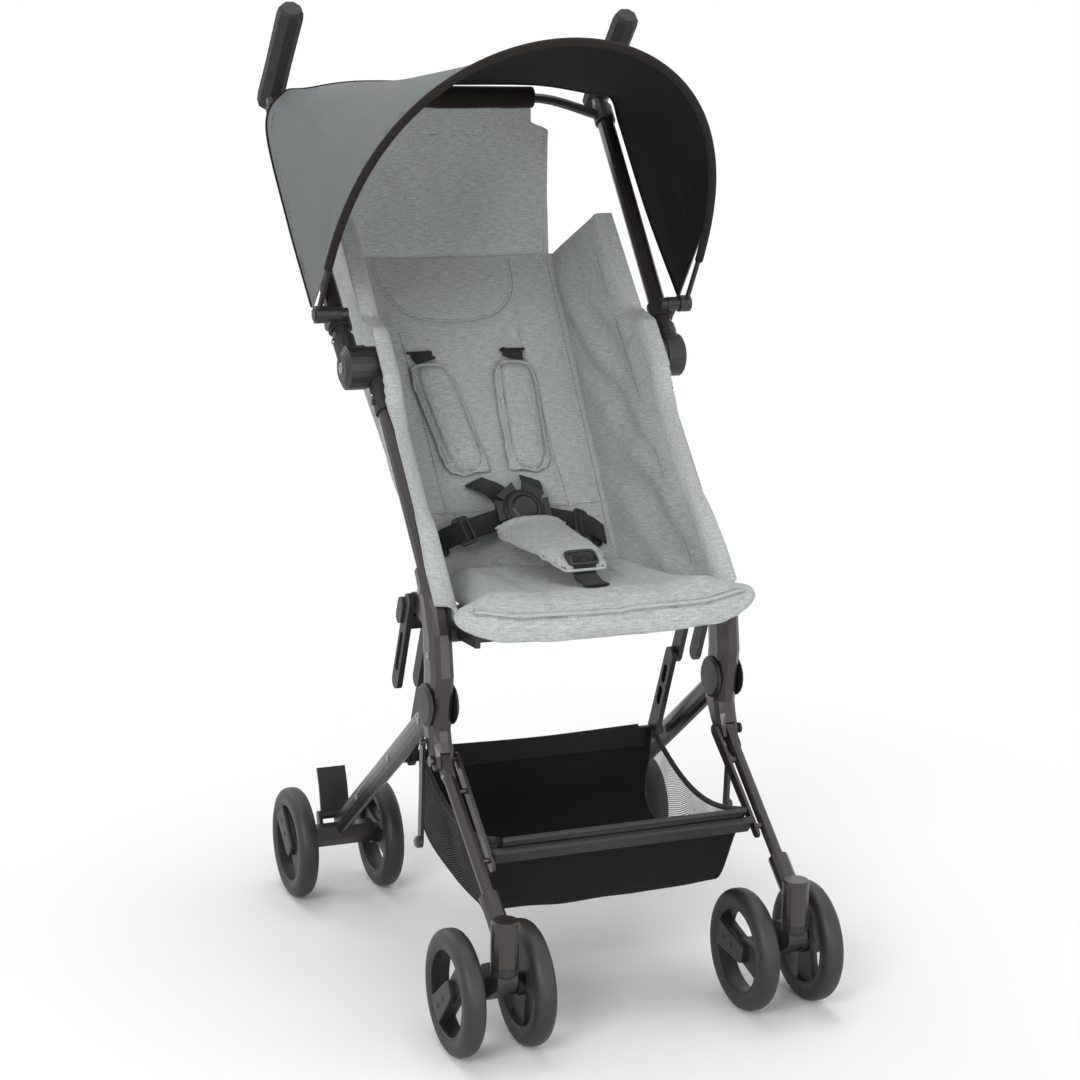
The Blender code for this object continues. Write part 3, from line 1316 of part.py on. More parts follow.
def basket():
    """Rows run from the left side over the floor to the right, from front to back."""
    rear = STRUT_FOOT
    lap = BAR_R + CLOTH_GAP + BASKET_T / 2
    profile = [
        (STRIP - (STRIP_W * 0.50) * FRONT_SIDE - 0.0075 * FRONT_WAY, 1.00),
        (STRIP + (STRIP_W * 0.62) * FRONT_SIDE - 0.0075 * FRONT_WAY, 1.00),
        (Vector((0, STRIP.y + 0.045, BASKET_FLOOR_Z + 0.004)), 0.97),
        (Vector((0, -0.045, BASKET_FLOOR_Z)), 0.95),
        (Vector((0, 0.035, BASKET_FLOOR_Z + 0.004)), 0.95),
        (Vector((0, rear.y - 0.012, BASKET_FLOOR_Z + 0.026)), 0.96),
        (rear + Vector((0, -lap, -0.024)), 0.99),
        (rear + Vector((0, -lap, 0.007)), 1.0),
    ]
    return profile


def basket_shell():
    profile = basket()
    line = smooth_line([p for p, _ in profile], 2)
    halves = []
    for i in range(len(profile) - 1):
        halves += [profile[i][1], (profile[i][1] + profile[i + 1][1]) / 2]
    halves.append(profile[-1][1])
    front_rim = profile[0][0]
    rear_rim = profile[-1][0]
    rows = []
    for k, (spot, share) in enumerate(zip(line, halves)):
        t = k / (len(line) - 1)
        rim = front_rim.lerp(rear_rim, t)
        rim.z -= 0.030 * sin(pi * t)
        half = BASKET_HALF * share
        row = []
        for j in range(-2, 11):
            u = j / 8
            if u < 0.0:
                rise = -u / 0.25
                p = at(spot.lerp(rim, rise), -half - (BASKET_HALF - half) * rise)
            elif u > 1.0:
                rise = (u - 1.0) / 0.25
                p = at(spot.lerp(rim, rise), half + (BASKET_HALF - half) * rise)
            else:
                x = half * (2 * u - 1)
                dip = 0.004 * (1 - (2 * u - 1) ** 2) * sin(pi * t)
                p = at(spot, x) - Vector((0, 0, dip))
            row.append(p)
        rows.append(row)
    return sheet(rows, BASKET_T)


piece("basket", basket_shell(), BLACK, PIVOT, ROOT, 60.0)


# Harness: shoulder pads, webbing, buckle with its button, and the crotch pad

def on_back(x, s, n):
    return MOUTH + s * ALONG + n * BEHIND + x * X_AXIS


PAD_TOP_S = 0.340
PAD_N = back_plane(0.6) - CLOTH_T / 2 - 0.0006 - CLOTH_GAP - 0.0006


def shoulder_pad():
    top = on_back(0.0535, PAD_TOP_S, PAD_N)
    low = on_back(0.0360, PAD_TOP_S - PAD_L, PAD_N)
    way = (top - low).normalized()
    across = way.cross(BEHIND).normalized()
    if across.x < 0:
        across = -across
    upper, lower = [], []
    for i in range(9):
        v = i / 8
        up_row, low_row = [], []
        narrow = 1.0 - 0.30 * max(0.0, (v - 0.80) / 0.20) ** 2 - 0.10 * max(0.0, 1 - v / 0.12) ** 2
        for j in range(7):
            u = -1 + 2 * j / 6
            spot = low.lerp(top, v) + u * PAD_W / 2 * narrow * across
            rim = sqrt(max(0.0, (1 - u ** 4) * (1 - abs(2 * v - 1) ** 8)))
            seam = 0.0022 * max(0.0, 1 - abs(abs(u) - 0.67) / 0.2)
            curl = 0.0045 * (1 - u * u)
            up_row.append(spot + rim * (PAD_T * 0.65 - seam + curl) * -BEHIND)
            low_row.append(spot + rim * 0.0012 * BEHIND)
        upper.append(up_row)
        lower.append(low_row)
    return pillow(upper, lower)


both("shoulder_pad", shoulder_pad(), GREY, on_back(0.0535, PAD_TOP_S, PAD_N), ROOT, ROOT, 60.0)



def web_depth(a):
    """Depth of a strap that touches the back, a from its middle (0) to its side (1)."""
    return back_plane(a) - CLOTH_T / 2 - 0.0015 * (1 - a) - CLOTH_GAP - WEB_T / 2


BUCKLE = on_back(0.0, 0.118, BACK_DEPTH - 0.040)
BUCKLE_WAY = -(BEHIND + 0.10 * ALONG).normalized()
BUCKLE_UP = (ALONG - ALONG.dot(BUCKLE_WAY) * BUCKLE_WAY).normalized()


def strap(points, width, thickness, face_way):
    """A flat band along the points, lying square to face_way."""
    rings = []
    for i, spot in enumerate(points):
        way = (points[min(i + 1, len(points) - 1)] - points[max(i - 1, 0)]).normalized()
        across = way.cross(face_way).normalized()
        up = across.cross(way).normalized()
        rings.append([spot + a * width / 2 * across + b * thickness / 2 * up
                      for a, b in ((-1, -1), (1, -1), (1, 1), (-1, 1))])
    return loft(rings)


STRAP_BEHIND = BUCKLE_T / 2 + 0.0014 + CLOTH_GAP


def crotch_line():
    """Middle of the crotch strap, from under the buckle down to the cushion."""
    start = BUCKLE - (STRAP_BEHIND + 0.0012) * BUCKLE_WAY - 0.031 * BUCKLE_UP
    end = Vector((0.0, CROTCH_Y, cushion_top(0.0, CROTCH_Y) + WEB_T / 2 + 3 * CLOTH_GAP))
    middle = start.lerp(end, 0.5) + Vector((0.0, 0.0, 0.014))
    return smooth_line([start, middle, end], 4)


def webbing():
    back = BUCKLE - STRAP_BEHIND * BUCKLE_WAY
    hub = cylinder(back - 0.0014 * BUCKLE_WAY, back + 0.0014 * BUCKLE_WAY, BUCKLE_R * 0.86, 14)
    under = back - 0.0018 * BUCKLE_WAY
    adds = []
    for side in (1, -1):
        shoulder = smooth_line(
            [under + side * 0.006 * X_AXIS, on_back(side * 0.022, 0.150, BACK_DEPTH - 0.029),
             on_back(side * 0.034, 0.1775, web_depth(0.4))], 3)
        adds.append(strap(shoulder, WEB_W, WEB_T, BEHIND))
        waist = smooth_line(
            [under + side * 0.008 * X_AXIS, on_back(side * 0.045, 0.109, BACK_DEPTH - 0.030),
             on_back(side * 0.080, 0.101, BACK_DEPTH - 0.026),
             on_back(side * 0.104, 0.098, web_depth(0.9))], 3)
        adds.append(strap(waist, WEB_W, WEB_T, BEHIND))
        adds.append(box((0.016, 0.0095, WEB_W + 0.007), on_back(side * 0.070, 0.1035, BACK_DEPTH - 0.0275),
                        ALONG, 0.0018, 1))
    adds.append(strap([back, *crotch_line()], WEB_W, WEB_T, BEHIND))
    return joined(hub, adds)


piece("harness_webbing", webbing(), WEBBING, BUCKLE, ROOT)


def buckle_mesh():
    floor = -BUCKLE_T / 2 + 0.005
    top = BUCKLE_T / 2 - 0.0005
    shell = turned(
        [(0.0, top), (BUCKLE_R - 0.0030, top - 0.0004), (BUCKLE_R, top - 0.0035),
         (BUCKLE_R, -BUCKLE_T / 2), (0.0, -BUCKLE_T / 2)],
        BUCKLE, BUCKLE_WAY, 18)
    tabs = []
    for angle in (55, 125, 180, 0):
        x_part = cos(radians(angle)) * X_AXIS
        way = (x_part + sin(radians(angle)) * BUCKLE_UP).normalized()
        rings = []
        cross = way.cross(BUCKLE_WAY).normalized()
        for reach, half in ((0.010, 0.0085), (BUCKLE_R, 0.0110), (BUCKLE_R + 0.0075, 0.0130)):
            centre = BUCKLE + reach * way
            rings.append([centre + a * half * cross + b * 0.0026 * BUCKLE_WAY
                          for a, b in ((-1, -1), (1, -1), (1, 1), (-1, 1))])
        tabs.append(loft(rings))
    well = cylinder(BUCKLE + floor * BUCKLE_WAY, BUCKLE + 0.02 * BUCKLE_WAY,
                    BUCKLE_BUTTON_R + BORE_GAP, 16)
    return joined(shell, tabs, [well])


piece("buckle", buckle_mesh(), PLASTIC, BUCKLE, ROOT)
press_floor = -BUCKLE_T / 2 + 0.005 + BUCKLE_TRAVEL + GAP
press_top = BUCKLE_T / 2 + 0.0012
press = turned(
    [(0.0, press_top - 0.0008), (BUCKLE_BUTTON_R * 0.55, press_top - 0.0007),
     (BUCKLE_BUTTON_R - 0.0030, press_top), (BUCKLE_BUTTON_R, press_top - 0.0020),
     (BUCKLE_BUTTON_R, press_floor), (0.0, press_floor)],
    BUCKLE, BUCKLE_WAY, 16)
piece("buckle_button", press, PLASTIC, BUCKLE, ROOT)


def crotch_pad():
    """A padded tongue that lies on the crotch strap and droops at its sides."""
    web = crotch_line()
    lift = WEB_T / 2 + CLOTH_GAP + 0.0046
    top = BUCKLE - 0.013 * BUCKLE_UP + (BUCKLE_T / 2 + 0.0012 + CLOTH_GAP + 0.0042) * BUCKLE_WAY
    neck = web[1] + Vector((0.0, 0.0, lift + 0.010))
    line = smooth_line([top, neck, *(p + Vector((0.0, 0.0, lift)) for p in web[3:7:2]),
                        web[7] + Vector((0.0, 0.002, lift - 0.0004))], 2)
    upper, lower = [], []
    last = len(line) - 1
    for i, spot in enumerate(line):
        v = i / last
        way = (line[min(i + 1, last)] - line[max(i - 1, 0)]).normalized()
        up = Vector((0.0, way.z, -way.y))
        half = CROTCH_W / 2 * (0.72 + 0.28 * sin(pi * min(1.0, 0.20 + 0.62 * v)))
        half *= 1 - 0.42 * v ** 3
        up_row, low_row = [], []
        for j in range(9):
            u = -1 + 2 * j / 8
            droop = 0.018 * max(0.0, abs(u) - 0.3) ** 1.5 * (1 - v)
            rim = sqrt(max(0.0, (1 - u ** 4) * (1 - abs(2 * v - 1) ** 6)))
            centre = at(spot, u * half) - droop * up
            up_row.append(centre + rim * 0.0066 * up)
            low_row.append(centre - rim * 0.0030 * up)
        upper.append(up_row)
        lower.append(low_row)
    return pillow(upper, lower)


piece("crotch_pad", crotch_pad(), GREY, BUCKLE, ROOT, 60.0)

# Stand the stroller over the origin: the middle of its outer box at X = Y = 0
bpy.context.view_layer.update()
lows, highs = [], []
for obj in PARTS.objects:
    if obj.type == "MESH":
        ys = [(obj.matrix_world @ v.co).y for v in obj.data.vertices]
        lows.append(min(ys))
        highs.append(max(ys))
ROOT.location.y = -(min(lows) + max(highs)) / 2
bpy.data.collections.remove(WORK)
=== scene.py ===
"""Dresses the stroller's frame: cloth, padding, harness, wheels, fasteners, finishes and the studio."""

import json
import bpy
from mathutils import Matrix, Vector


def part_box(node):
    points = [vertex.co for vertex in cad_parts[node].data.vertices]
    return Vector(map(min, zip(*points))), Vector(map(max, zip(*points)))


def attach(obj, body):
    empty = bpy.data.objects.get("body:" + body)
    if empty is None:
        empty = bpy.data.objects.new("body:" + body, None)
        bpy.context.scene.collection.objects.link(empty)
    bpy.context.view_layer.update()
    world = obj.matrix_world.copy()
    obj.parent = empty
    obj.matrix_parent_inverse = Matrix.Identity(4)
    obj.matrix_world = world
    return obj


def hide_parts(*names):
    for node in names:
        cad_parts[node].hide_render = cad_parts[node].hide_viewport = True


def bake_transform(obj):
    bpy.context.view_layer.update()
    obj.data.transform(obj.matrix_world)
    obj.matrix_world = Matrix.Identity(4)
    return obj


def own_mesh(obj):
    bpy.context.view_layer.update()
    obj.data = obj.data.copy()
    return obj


bl_info = {
    "name": "Folding Stroller",
    "version": (1, 0, 0),
    "blender": (4, 5, 0),
    "location": "3D View > Sidebar > Stroller",
    "description": "Dresses a folding stroller with cloth, padding, harness, wheels and finishes",
    "category": "Add Mesh",
}

from math import cos, pi, radians, sin

import bmesh
import bpy
from bpy.props import FloatProperty, FloatVectorProperty, PointerProperty
from mathutils import Matrix, Vector, noise
from mathutils.bvhtree import BVHTree
from mathutils.kdtree import KDTree

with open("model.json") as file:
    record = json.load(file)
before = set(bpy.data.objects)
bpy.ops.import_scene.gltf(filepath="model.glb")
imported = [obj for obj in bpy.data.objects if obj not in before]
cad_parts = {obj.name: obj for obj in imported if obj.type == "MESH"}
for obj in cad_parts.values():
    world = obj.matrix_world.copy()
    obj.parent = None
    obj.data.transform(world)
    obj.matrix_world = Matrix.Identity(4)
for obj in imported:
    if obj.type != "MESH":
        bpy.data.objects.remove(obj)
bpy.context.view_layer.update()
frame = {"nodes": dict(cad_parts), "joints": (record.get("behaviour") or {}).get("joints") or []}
JOINTS = {joint["name"]: joint for joint in frame["joints"]}

# Places read from the frame's own joints and nodes
X = Vector((1.0, 0.0, 0.0))
UP = Vector((0.0, 0.0, 1.0))
PIVOT = Vector(JOINTS["frame_fold"]["pos_m"])
FOOT = Vector(JOINTS["front_frame_fold"]["pos_m"])
HINGE = Vector(JOINTS["handle_fold"]["pos_m"])
CLIP = Vector(JOINTS["canopy_bow_fold"]["pos_m"])
ALONG = Vector((0.0, cos(radians(48.0)), sin(radians(48.0))))      # up the seat rails
BEHIND = Vector((0.0, ALONG.z, -ALONG.y))                          # square to them, to the rear
RAIL_L = 0.257                                                     # housing mouth to hinge
MOUTH = HINGE - RAIL_L * ALONG                                     # where the rails leave the housings
BOW_WAY = Vector((0.0, cos(radians(121.7)), sin(radians(121.7))))
CROSS = HINGE + 0.345 * ALONG                                      # the handle's cross bar
RAIL_X = 0.163
BACK_DEPTH = 0.127
BACK_TOP = 0.489
BACK_LOW = 0.062
WING_PEAK = 0.452
HINGE_R = 0.0225
SLEEVE_L = 0.036                   # the hinge's sleeve on the rail
WING_SIDE_X = 0.1475
BACK_HALF_LOW = 0.116
BACK_HALF_TOP = 0.147
CANOPY_SIDE_X = 0.2195
CLOTH = 0.0040
PAD_DEPTH = BACK_DEPTH - 0.00144 - CLOTH / 2 - 0.0017


def at(point, x):
    return Vector((x, point.y, point.z))


def middle_of(node):
    """The middle of a CAD node's box."""
    low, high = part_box(node)
    return (Vector(low) + Vector(high)) / 2


def round_steps(count):
    """Cosine and sine at even steps round a circle."""
    return [(cos(2 * pi * k / count), sin(2 * pi * k / count)) for k in range(count)]


def signed(value, power):
    """A power that keeps the value's sign, for frames with rounded corners."""
    return abs(value) ** power * (1 if value > 0 else -1)


def on_back(x, s, n):
    """A point by side, height along the rails and depth behind them."""
    return MOUTH + s * ALONG + n * BEHIND + x * X


def ease(value):
    value = min(1.0, max(0.0, value))
    return value * value * (3 - 2 * value)


def ripple(point, scale, seed=0.0):
    """Smooth noise from -1 to 1, the same on every run."""
    return noise.noise(Vector(point) * scale + Vector((seed, 1.7 * seed, -seed)))


def smooth_line(points, steps=6):
    """Points of a curve that passes through the given ones."""
    points = [Vector(p) for p in points]
    padded = [2 * points[0] - points[1], *points, 2 * points[-1] - points[-2]]
    out = []
    for i in range(len(points) - 1):
        a, b, c, d = padded[i:i + 4]
        for k in range(steps):
            t = k / steps
            out.append(0.5 * (2 * b + (c - a) * t + (2 * a - 5 * b + 4 * c - d) * t * t
                              + (3 * b - a - 3 * c + d) * t ** 3))
    out.append(points[-1])
    return out


def even_line(points, pitch):
    """The same line with points at an even pitch."""
    out = [points[0].copy()]
    left = pitch
    for a, b in zip(points, points[1:]):
        span = (b - a).length
        done = 0.0
        while span - done >= left:
            done += left
            out.append(a.lerp(b, done / span))
            left = pitch
        left -= span - done
    return out


# Mesh making

def new_object(name, mesh, *skins, smooth=60.0):
    for skin in skins:
        mesh.materials.append(skin)
    mesh.shade_smooth()
    if smooth < 180:
        mesh.set_sharp_from_angle(angle=radians(smooth))
    made = bpy.data.objects.new(name, mesh)
    bpy.context.scene.collection.objects.link(made)
    return made


def from_form(name, form, *skins, smooth=60.0, normals=True):
    if normals:
        bmesh.ops.recalc_face_normals(form, faces=form.faces)
    mesh = bpy.data.meshes.new(name)
    form.to_mesh(mesh)
    form.free()
    return new_object(name, mesh, *skins, smooth=smooth)


def cloth_sheet(name, rows, thickness, skins, size, smooth=70.0):
    """A closed cloth from a grid of points. Its first skin faces the grid's front, its second the back.
    The UV map is in metres of the cloth, so that a weave keeps its scale."""
    high, wide = len(rows), len(rows[0])
    normals = []
    for i in range(high):
        for j in range(wide):
            du = rows[i][min(j + 1, wide - 1)] - rows[i][max(j - 1, 0)]
            dv = rows[min(i + 1, high - 1)][j] - rows[max(i - 1, 0)][j]
            normals.append(du.cross(dv).normalized())
    form = bmesh.new()
    uv = form.loops.layers.uv.new("cloth")
    sides = []
    for sign in (1, -1):
        sides.append([form.verts.new(rows[k // wide][k % wide] + sign * thickness / 2 * normals[k])
                      for k in range(high * wide)])

    def face(corners, skin):
        made = form.faces.new([sides[s][k] for s, k in corners])
        made.material_index = skin
        for loop, (_, k) in zip(made.loops, corners):
            loop[uv].uv = (k % wide / (wide - 1) * size[0], k // wide / (high - 1) * size[1])

    back = len(skins) - 1
    for i in range(high - 1):
        for j in range(wide - 1):
            k = i * wide + j
            face(((0, k), (0, k + 1), (0, k + wide + 1), (0, k + wide)), 0)
            face(((1, k + wide), (1, k + wide + 1), (1, k + 1), (1, k)), back)
    for j in range(wide - 1):
        top = (high - 1) * wide + j
        face(((1, j), (1, j + 1), (0, j + 1), (0, j)), 0)
        face(((0, top), (0, top + 1), (1, top + 1), (1, top)), 0)
    for i in range(high - 1):
        a, b = i * wide, (i + 1) * wide
        face(((0, a), (0, b), (1, b), (1, a)), 0)
        face(((1, a + wide - 1), (1, b + wide - 1), (0, b + wide - 1), (0, a + wide - 1)), 0)
    return from_form(name, form, *skins, smooth=smooth, normals=False)


def circle(form, centre, radius, side, other, steps):
    """Adds a ring of points round a centre."""
    return [form.verts.new(centre + radius * (c * side + s * other)) for c, s in round_steps(steps)]


def bridge(form, rings, skin=0, capped=True):
    """Joins each ring of points to the next, and closes the first and the last."""
    for a, b in zip(rings, rings[1:]):
        for k in range(len(a)):
            m = (k + 1) % len(a)
            form.faces.new((a[k], a[m], b[m], b[k])).material_index = skin
    if capped:
        form.faces.new(rings[0][::-1]).material_index = skin
        form.faces.new(rings[-1]).material_index = skin


def ring_tube(form, points, radius, sides=8, closed=False):
    """Adds a round tube along the points to a form."""
    rings = []
    count = len(points)
    side = None
    for i, spot in enumerate(points):
        before = points[i - 1] if closed or i else points[0]
        after = points[(i + 1) % count] if closed or i < count - 1 else points[-1]
        way = (after - before).normalized()
        if side is None:
            side = way.orthogonal().normalized()
        side = (side - side.dot(way) * way).normalized()
        rings.append(circle(form, spot, radius, side, way.cross(side), sides))
    bridge(form, rings + rings[:1] if closed else rings, capped=not closed)


def ribbon(form, points, width, thickness, look):
    """Adds a flat strap along the points; look is the way its flat side looks."""
    uv = form.loops.layers.uv.verify()
    profile = ((-1, -0.5), (-0.94, -1), (0.94, -1), (1, -0.5), (1, 0.5), (0.94, 1), (-0.94, 1), (-1, 0.5))
    rings = []
    run = [0.0]
    for i, spot in enumerate(points):
        way = (points[min(i + 1, len(points) - 1)] - points[max(i - 1, 0)]).normalized()
        across = way.cross(look).normalized()
        up = across.cross(way).normalized()
        rings.append([form.verts.new(spot + a * (width / 2) * across + b * thickness / 2 * up)
                      for a, b in profile])
        if i:
            run.append(run[-1] + (spot - points[i - 1]).length)
    for n, (a, b) in enumerate(zip(rings, rings[1:])):
        for k in range(8):
            m = (k + 1) % 8
            made = form.faces.new((a[k], a[m], b[m], b[k]))
            for loop, (side, row) in zip(made.loops, ((k, n), (m, n), (m, n + 1), (k, n + 1))):
                loop[uv].uv = (profile[side][0] * width / 2, run[row])
    form.faces.new(rings[0][::-1])
    form.faces.new(rings[-1])


def turned(form, profile, centre, way, steps, skin=0):
    """Adds a turned solid; profile is (radius, height) from one end to the other."""
    way = way.normalized()
    side = way.orthogonal().normalized()
    other = way.cross(side)
    rings = []
    for radius, height in profile:
        base = centre + height * way
        if radius < 1e-6:
            rings.append([form.verts.new(base)])
        else:
            rings.append(circle(form, base, radius, side, other, steps))
    for a, b in zip(rings, rings[1:]):
        for k in range(steps):
            m = (k + 1) % steps
            corners = [a[0], b[k], b[m]] if len(a) == 1 else [a[k], a[m], b[0]] if len(b) == 1 else \
                [a[k], a[m], b[m], b[k]]
            form.faces.new(corners).material_index = skin


def soft_copy(name, node, skin):
    """A new piece with the shape of a CAD node."""
    mesh = frame["nodes"][node].data.copy()
    mesh.materials.clear()
    form = bmesh.new()
    form.from_mesh(mesh)
    bmesh.ops.remove_doubles(form, verts=form.verts, dist=1e-5)
    form.to_mesh(mesh)
    form.free()
    return new_object(name, mesh, skin, smooth=180)


def applied(obj):
    """Bakes the object's modifiers into its mesh."""
    bpy.context.view_layer.update()
    mesh = bpy.data.meshes.new_from_object(obj.evaluated_get(bpy.context.evaluated_depsgraph_get()))
    obj.modifiers.clear()
    obj.data = mesh
    return obj


def plumped(obj, voxel, inset, cap, rest=None):
    """Remeshes a pad, swells it like a filled cushion, and caps how far a point may go.
    rest is the way towards what it lies on, where it doesn't swell."""
    remesh = obj.modifiers.new("even", "REMESH")
    remesh.mode = "VOXEL"
    remesh.voxel_size = voxel
    applied(obj)
    mesh = obj.data
    start = [v.co.copy() for v in mesh.vertices]
    for vertex in mesh.vertices:
        vertex.co = vertex.co - inset * vertex.normal
    cloth = obj.modifiers.new("swell", "CLOTH")
    cloth.settings.quality = 4
    cloth.settings.use_pressure = True
    cloth.settings.uniform_pressure_force = 4.0
    cloth.settings.effector_weights.gravity = 0.0
    cloth.settings.tension_stiffness = 12.0
    cloth.settings.compression_stiffness = 12.0
    cloth.settings.bending_stiffness = 0.6
    cloth.point_cache.frame_start = 1
    cloth.point_cache.frame_end = 20
    for step in range(1, 21):
        bpy.context.scene.frame_set(step)
    applied(obj)
    for vertex, home in zip(obj.data.vertices, start):
        move = vertex.co - home
        if rest is not None:
            move -= max(0.0, move.dot(rest)) * rest
        if move.length > cap:
            move *= cap / move.length
        vertex.co = home + move
    fine = obj.modifiers.new("soft", "SUBSURF")
    fine.levels = fine.render_levels = 1
    applied(obj)
    obj.data.shade_smooth()
    return obj


def skin_of(obj):
    """The surface of an object, to lay seams and stitches on."""
    mesh = obj.data
    return BVHTree.FromPolygons([v.co for v in mesh.vertices], [p.vertices for p in mesh.polygons])


def laid(tree, points, pitch=0.002):
    """Points at an even pitch, brought onto a surface, each with its normal."""
    out = []
    for spot in even_line([Vector(p) for p in points], pitch):
        hit = tree.find_nearest(spot)
        if hit[0] is not None:
            out.append((hit[0], hit[1]))
    return out


def press(obj, lines, depth, width):
    """Sinks a sewn channel into a piece along each line."""
    spots = [p for line in lines for p, _ in line]
    tree = KDTree(len(spots))
    for i, spot in enumerate(spots):
        tree.insert(spot, i)
    tree.balance()
    looks = [n for line in lines for _, n in line]
    moves = []
    for vertex in obj.data.vertices:
        _, i, far = tree.find(vertex.co)
        if far < 2.5 * width and vertex.normal.dot(looks[i]) > 0.2:
            moves.append((vertex, depth * 2.718 ** -((far / width) ** 2)))
    for vertex, by in moves:
        vertex.co = vertex.co - by * vertex.normal
    obj.data.update()


def stitch(form, line, length=0.0026, gap=0.0014, radius=0.00032, lift=0.0001):
    """Adds a row of stitches along a laid line."""
    pitch = (line[1][0] - line[0][0]).length if len(line) > 1 else 0.001
    step = max(1, round((length + gap) / pitch))
    reach = max(1, round(length / pitch))
    for i in range(0, len(line) - reach, step):
        (a, n), (b, m) = line[i], line[i + reach]
        look = (n + m).normalized()
        across = (b - a).cross(look)
        if across.length < 1e-9:
            continue
        across.normalize()
        middle = (a + b) / 2 + (lift + 1.4 * radius) * look
        ends = (a - 0.3 * radius * n, b - 0.3 * radius * m)
        ring = [[form.verts.new(c + x * radius * across + y * radius * look)
                 for x, y in ((-1, 0), (0, 1), (1, 0), (0, -1))] for c in (ends[0], middle, ends[1])]
        bridge(form, ring)


def hoop(form, loop, centre, way, steps, skin):
    """Adds a ring turned about an axis from a closed profile of (radius, height)."""
    side = way.orthogonal().normalized()
    other = way.cross(side)
    rings = [[form.verts.new(centre + r * (c * side + s * other) + h * way) for r, h in loop]
             for c, s in round_steps(steps)]
    bridge(form, rings + rings[:1], skin, capped=False)


def slab(form, outline, place, low, high, edge, skin):
    """Adds a plate with bevelled rims. place(a, b, c) gives a point from outline and height."""
    middle = Vector((sum(a for a, _ in outline), sum(b for _, b in outline))) / len(outline)
    rings = []
    for height, inset in ((low, edge), (low + edge, 0.0), (high - edge, 0.0), (high, edge)):
        ring = []
        for a, b in outline:
            spot = Vector((a, b)) - middle
            spot = middle + spot * (1 - inset / max(spot.length, 1e-6))
            ring.append(form.verts.new(place(spot.x, spot.y, height)))
        rings.append(ring)
    bridge(form, rings, skin)


# Finishes

FLOAT, COLOR, VECTOR = "NodeSocketFloat", "NodeSocketColor", "NodeSocketVector"


def linear(rgb):
    """A shader colour from sRGB values of 0 to 255."""
    out = []
    for c in rgb:
        c = c / 255
        out.append(c / 12.92 if c <= 0.04045 else ((c + 0.055) / 1.055) ** 2.4)
    return (*out, 1.0)


def effect_group(name, takes):
    """A node group that takes a place and settings, and gives a colour, a height and a roughness."""
    group = bpy.data.node_groups.new(name, "ShaderNodeTree")
    for label, kind, default in takes:
        socket = group.interface.new_socket(name=label, in_out="INPUT", socket_type=kind)
        if default is not None:
            socket.default_value = default
    for label, kind in (("Color", COLOR), ("Height", FLOAT), ("Roughness", FLOAT)):
        group.interface.new_socket(name=label, in_out="OUTPUT", socket_type=kind)
    return group, group.nodes.new("NodeGroupInput"), group.nodes.new("NodeGroupOutput")


def maths(tree, kind, a, b=None, c=None, clamp=False):
    node = tree.nodes.new("ShaderNodeMath")
    node.operation = kind
    node.use_clamp = clamp
    for i, value in enumerate((a, b, c)):
        if value is None:
            continue
        if isinstance(value, (int, float)):
            node.inputs[i].default_value = value
        else:
            tree.links.new(value, node.inputs[i])
    return node.outputs[0]


def noise_of(tree, vector, scale, detail=2.0, rough=0.5, stretch=None):
    if stretch:
        mapping = tree.nodes.new("ShaderNodeMapping")
        mapping.inputs["Scale"].default_value = stretch
        tree.links.new(vector, mapping.inputs["Vector"])
        vector = mapping.outputs[0]
    node = tree.nodes.new("ShaderNodeTexNoise")
    node.inputs["Scale"].default_value = scale
    node.inputs["Detail"].default_value = detail
    node.inputs["Roughness"].default_value = rough
    tree.links.new(vector, node.inputs["Vector"])
    return node.outputs[0]


def blend_of(tree, share, a, b, kind="MIX"):
    node = tree.nodes.new("ShaderNodeMix")
    node.data_type = "RGBA"
    node.blend_type = kind
    for socket, value in ((node.inputs[0], share), (node.inputs[6], a), (node.inputs[7], b)):
        if isinstance(value, (int, float, tuple)):
            socket.default_value = value
        else:
            tree.links.new(value, socket)
    return node.outputs[2]


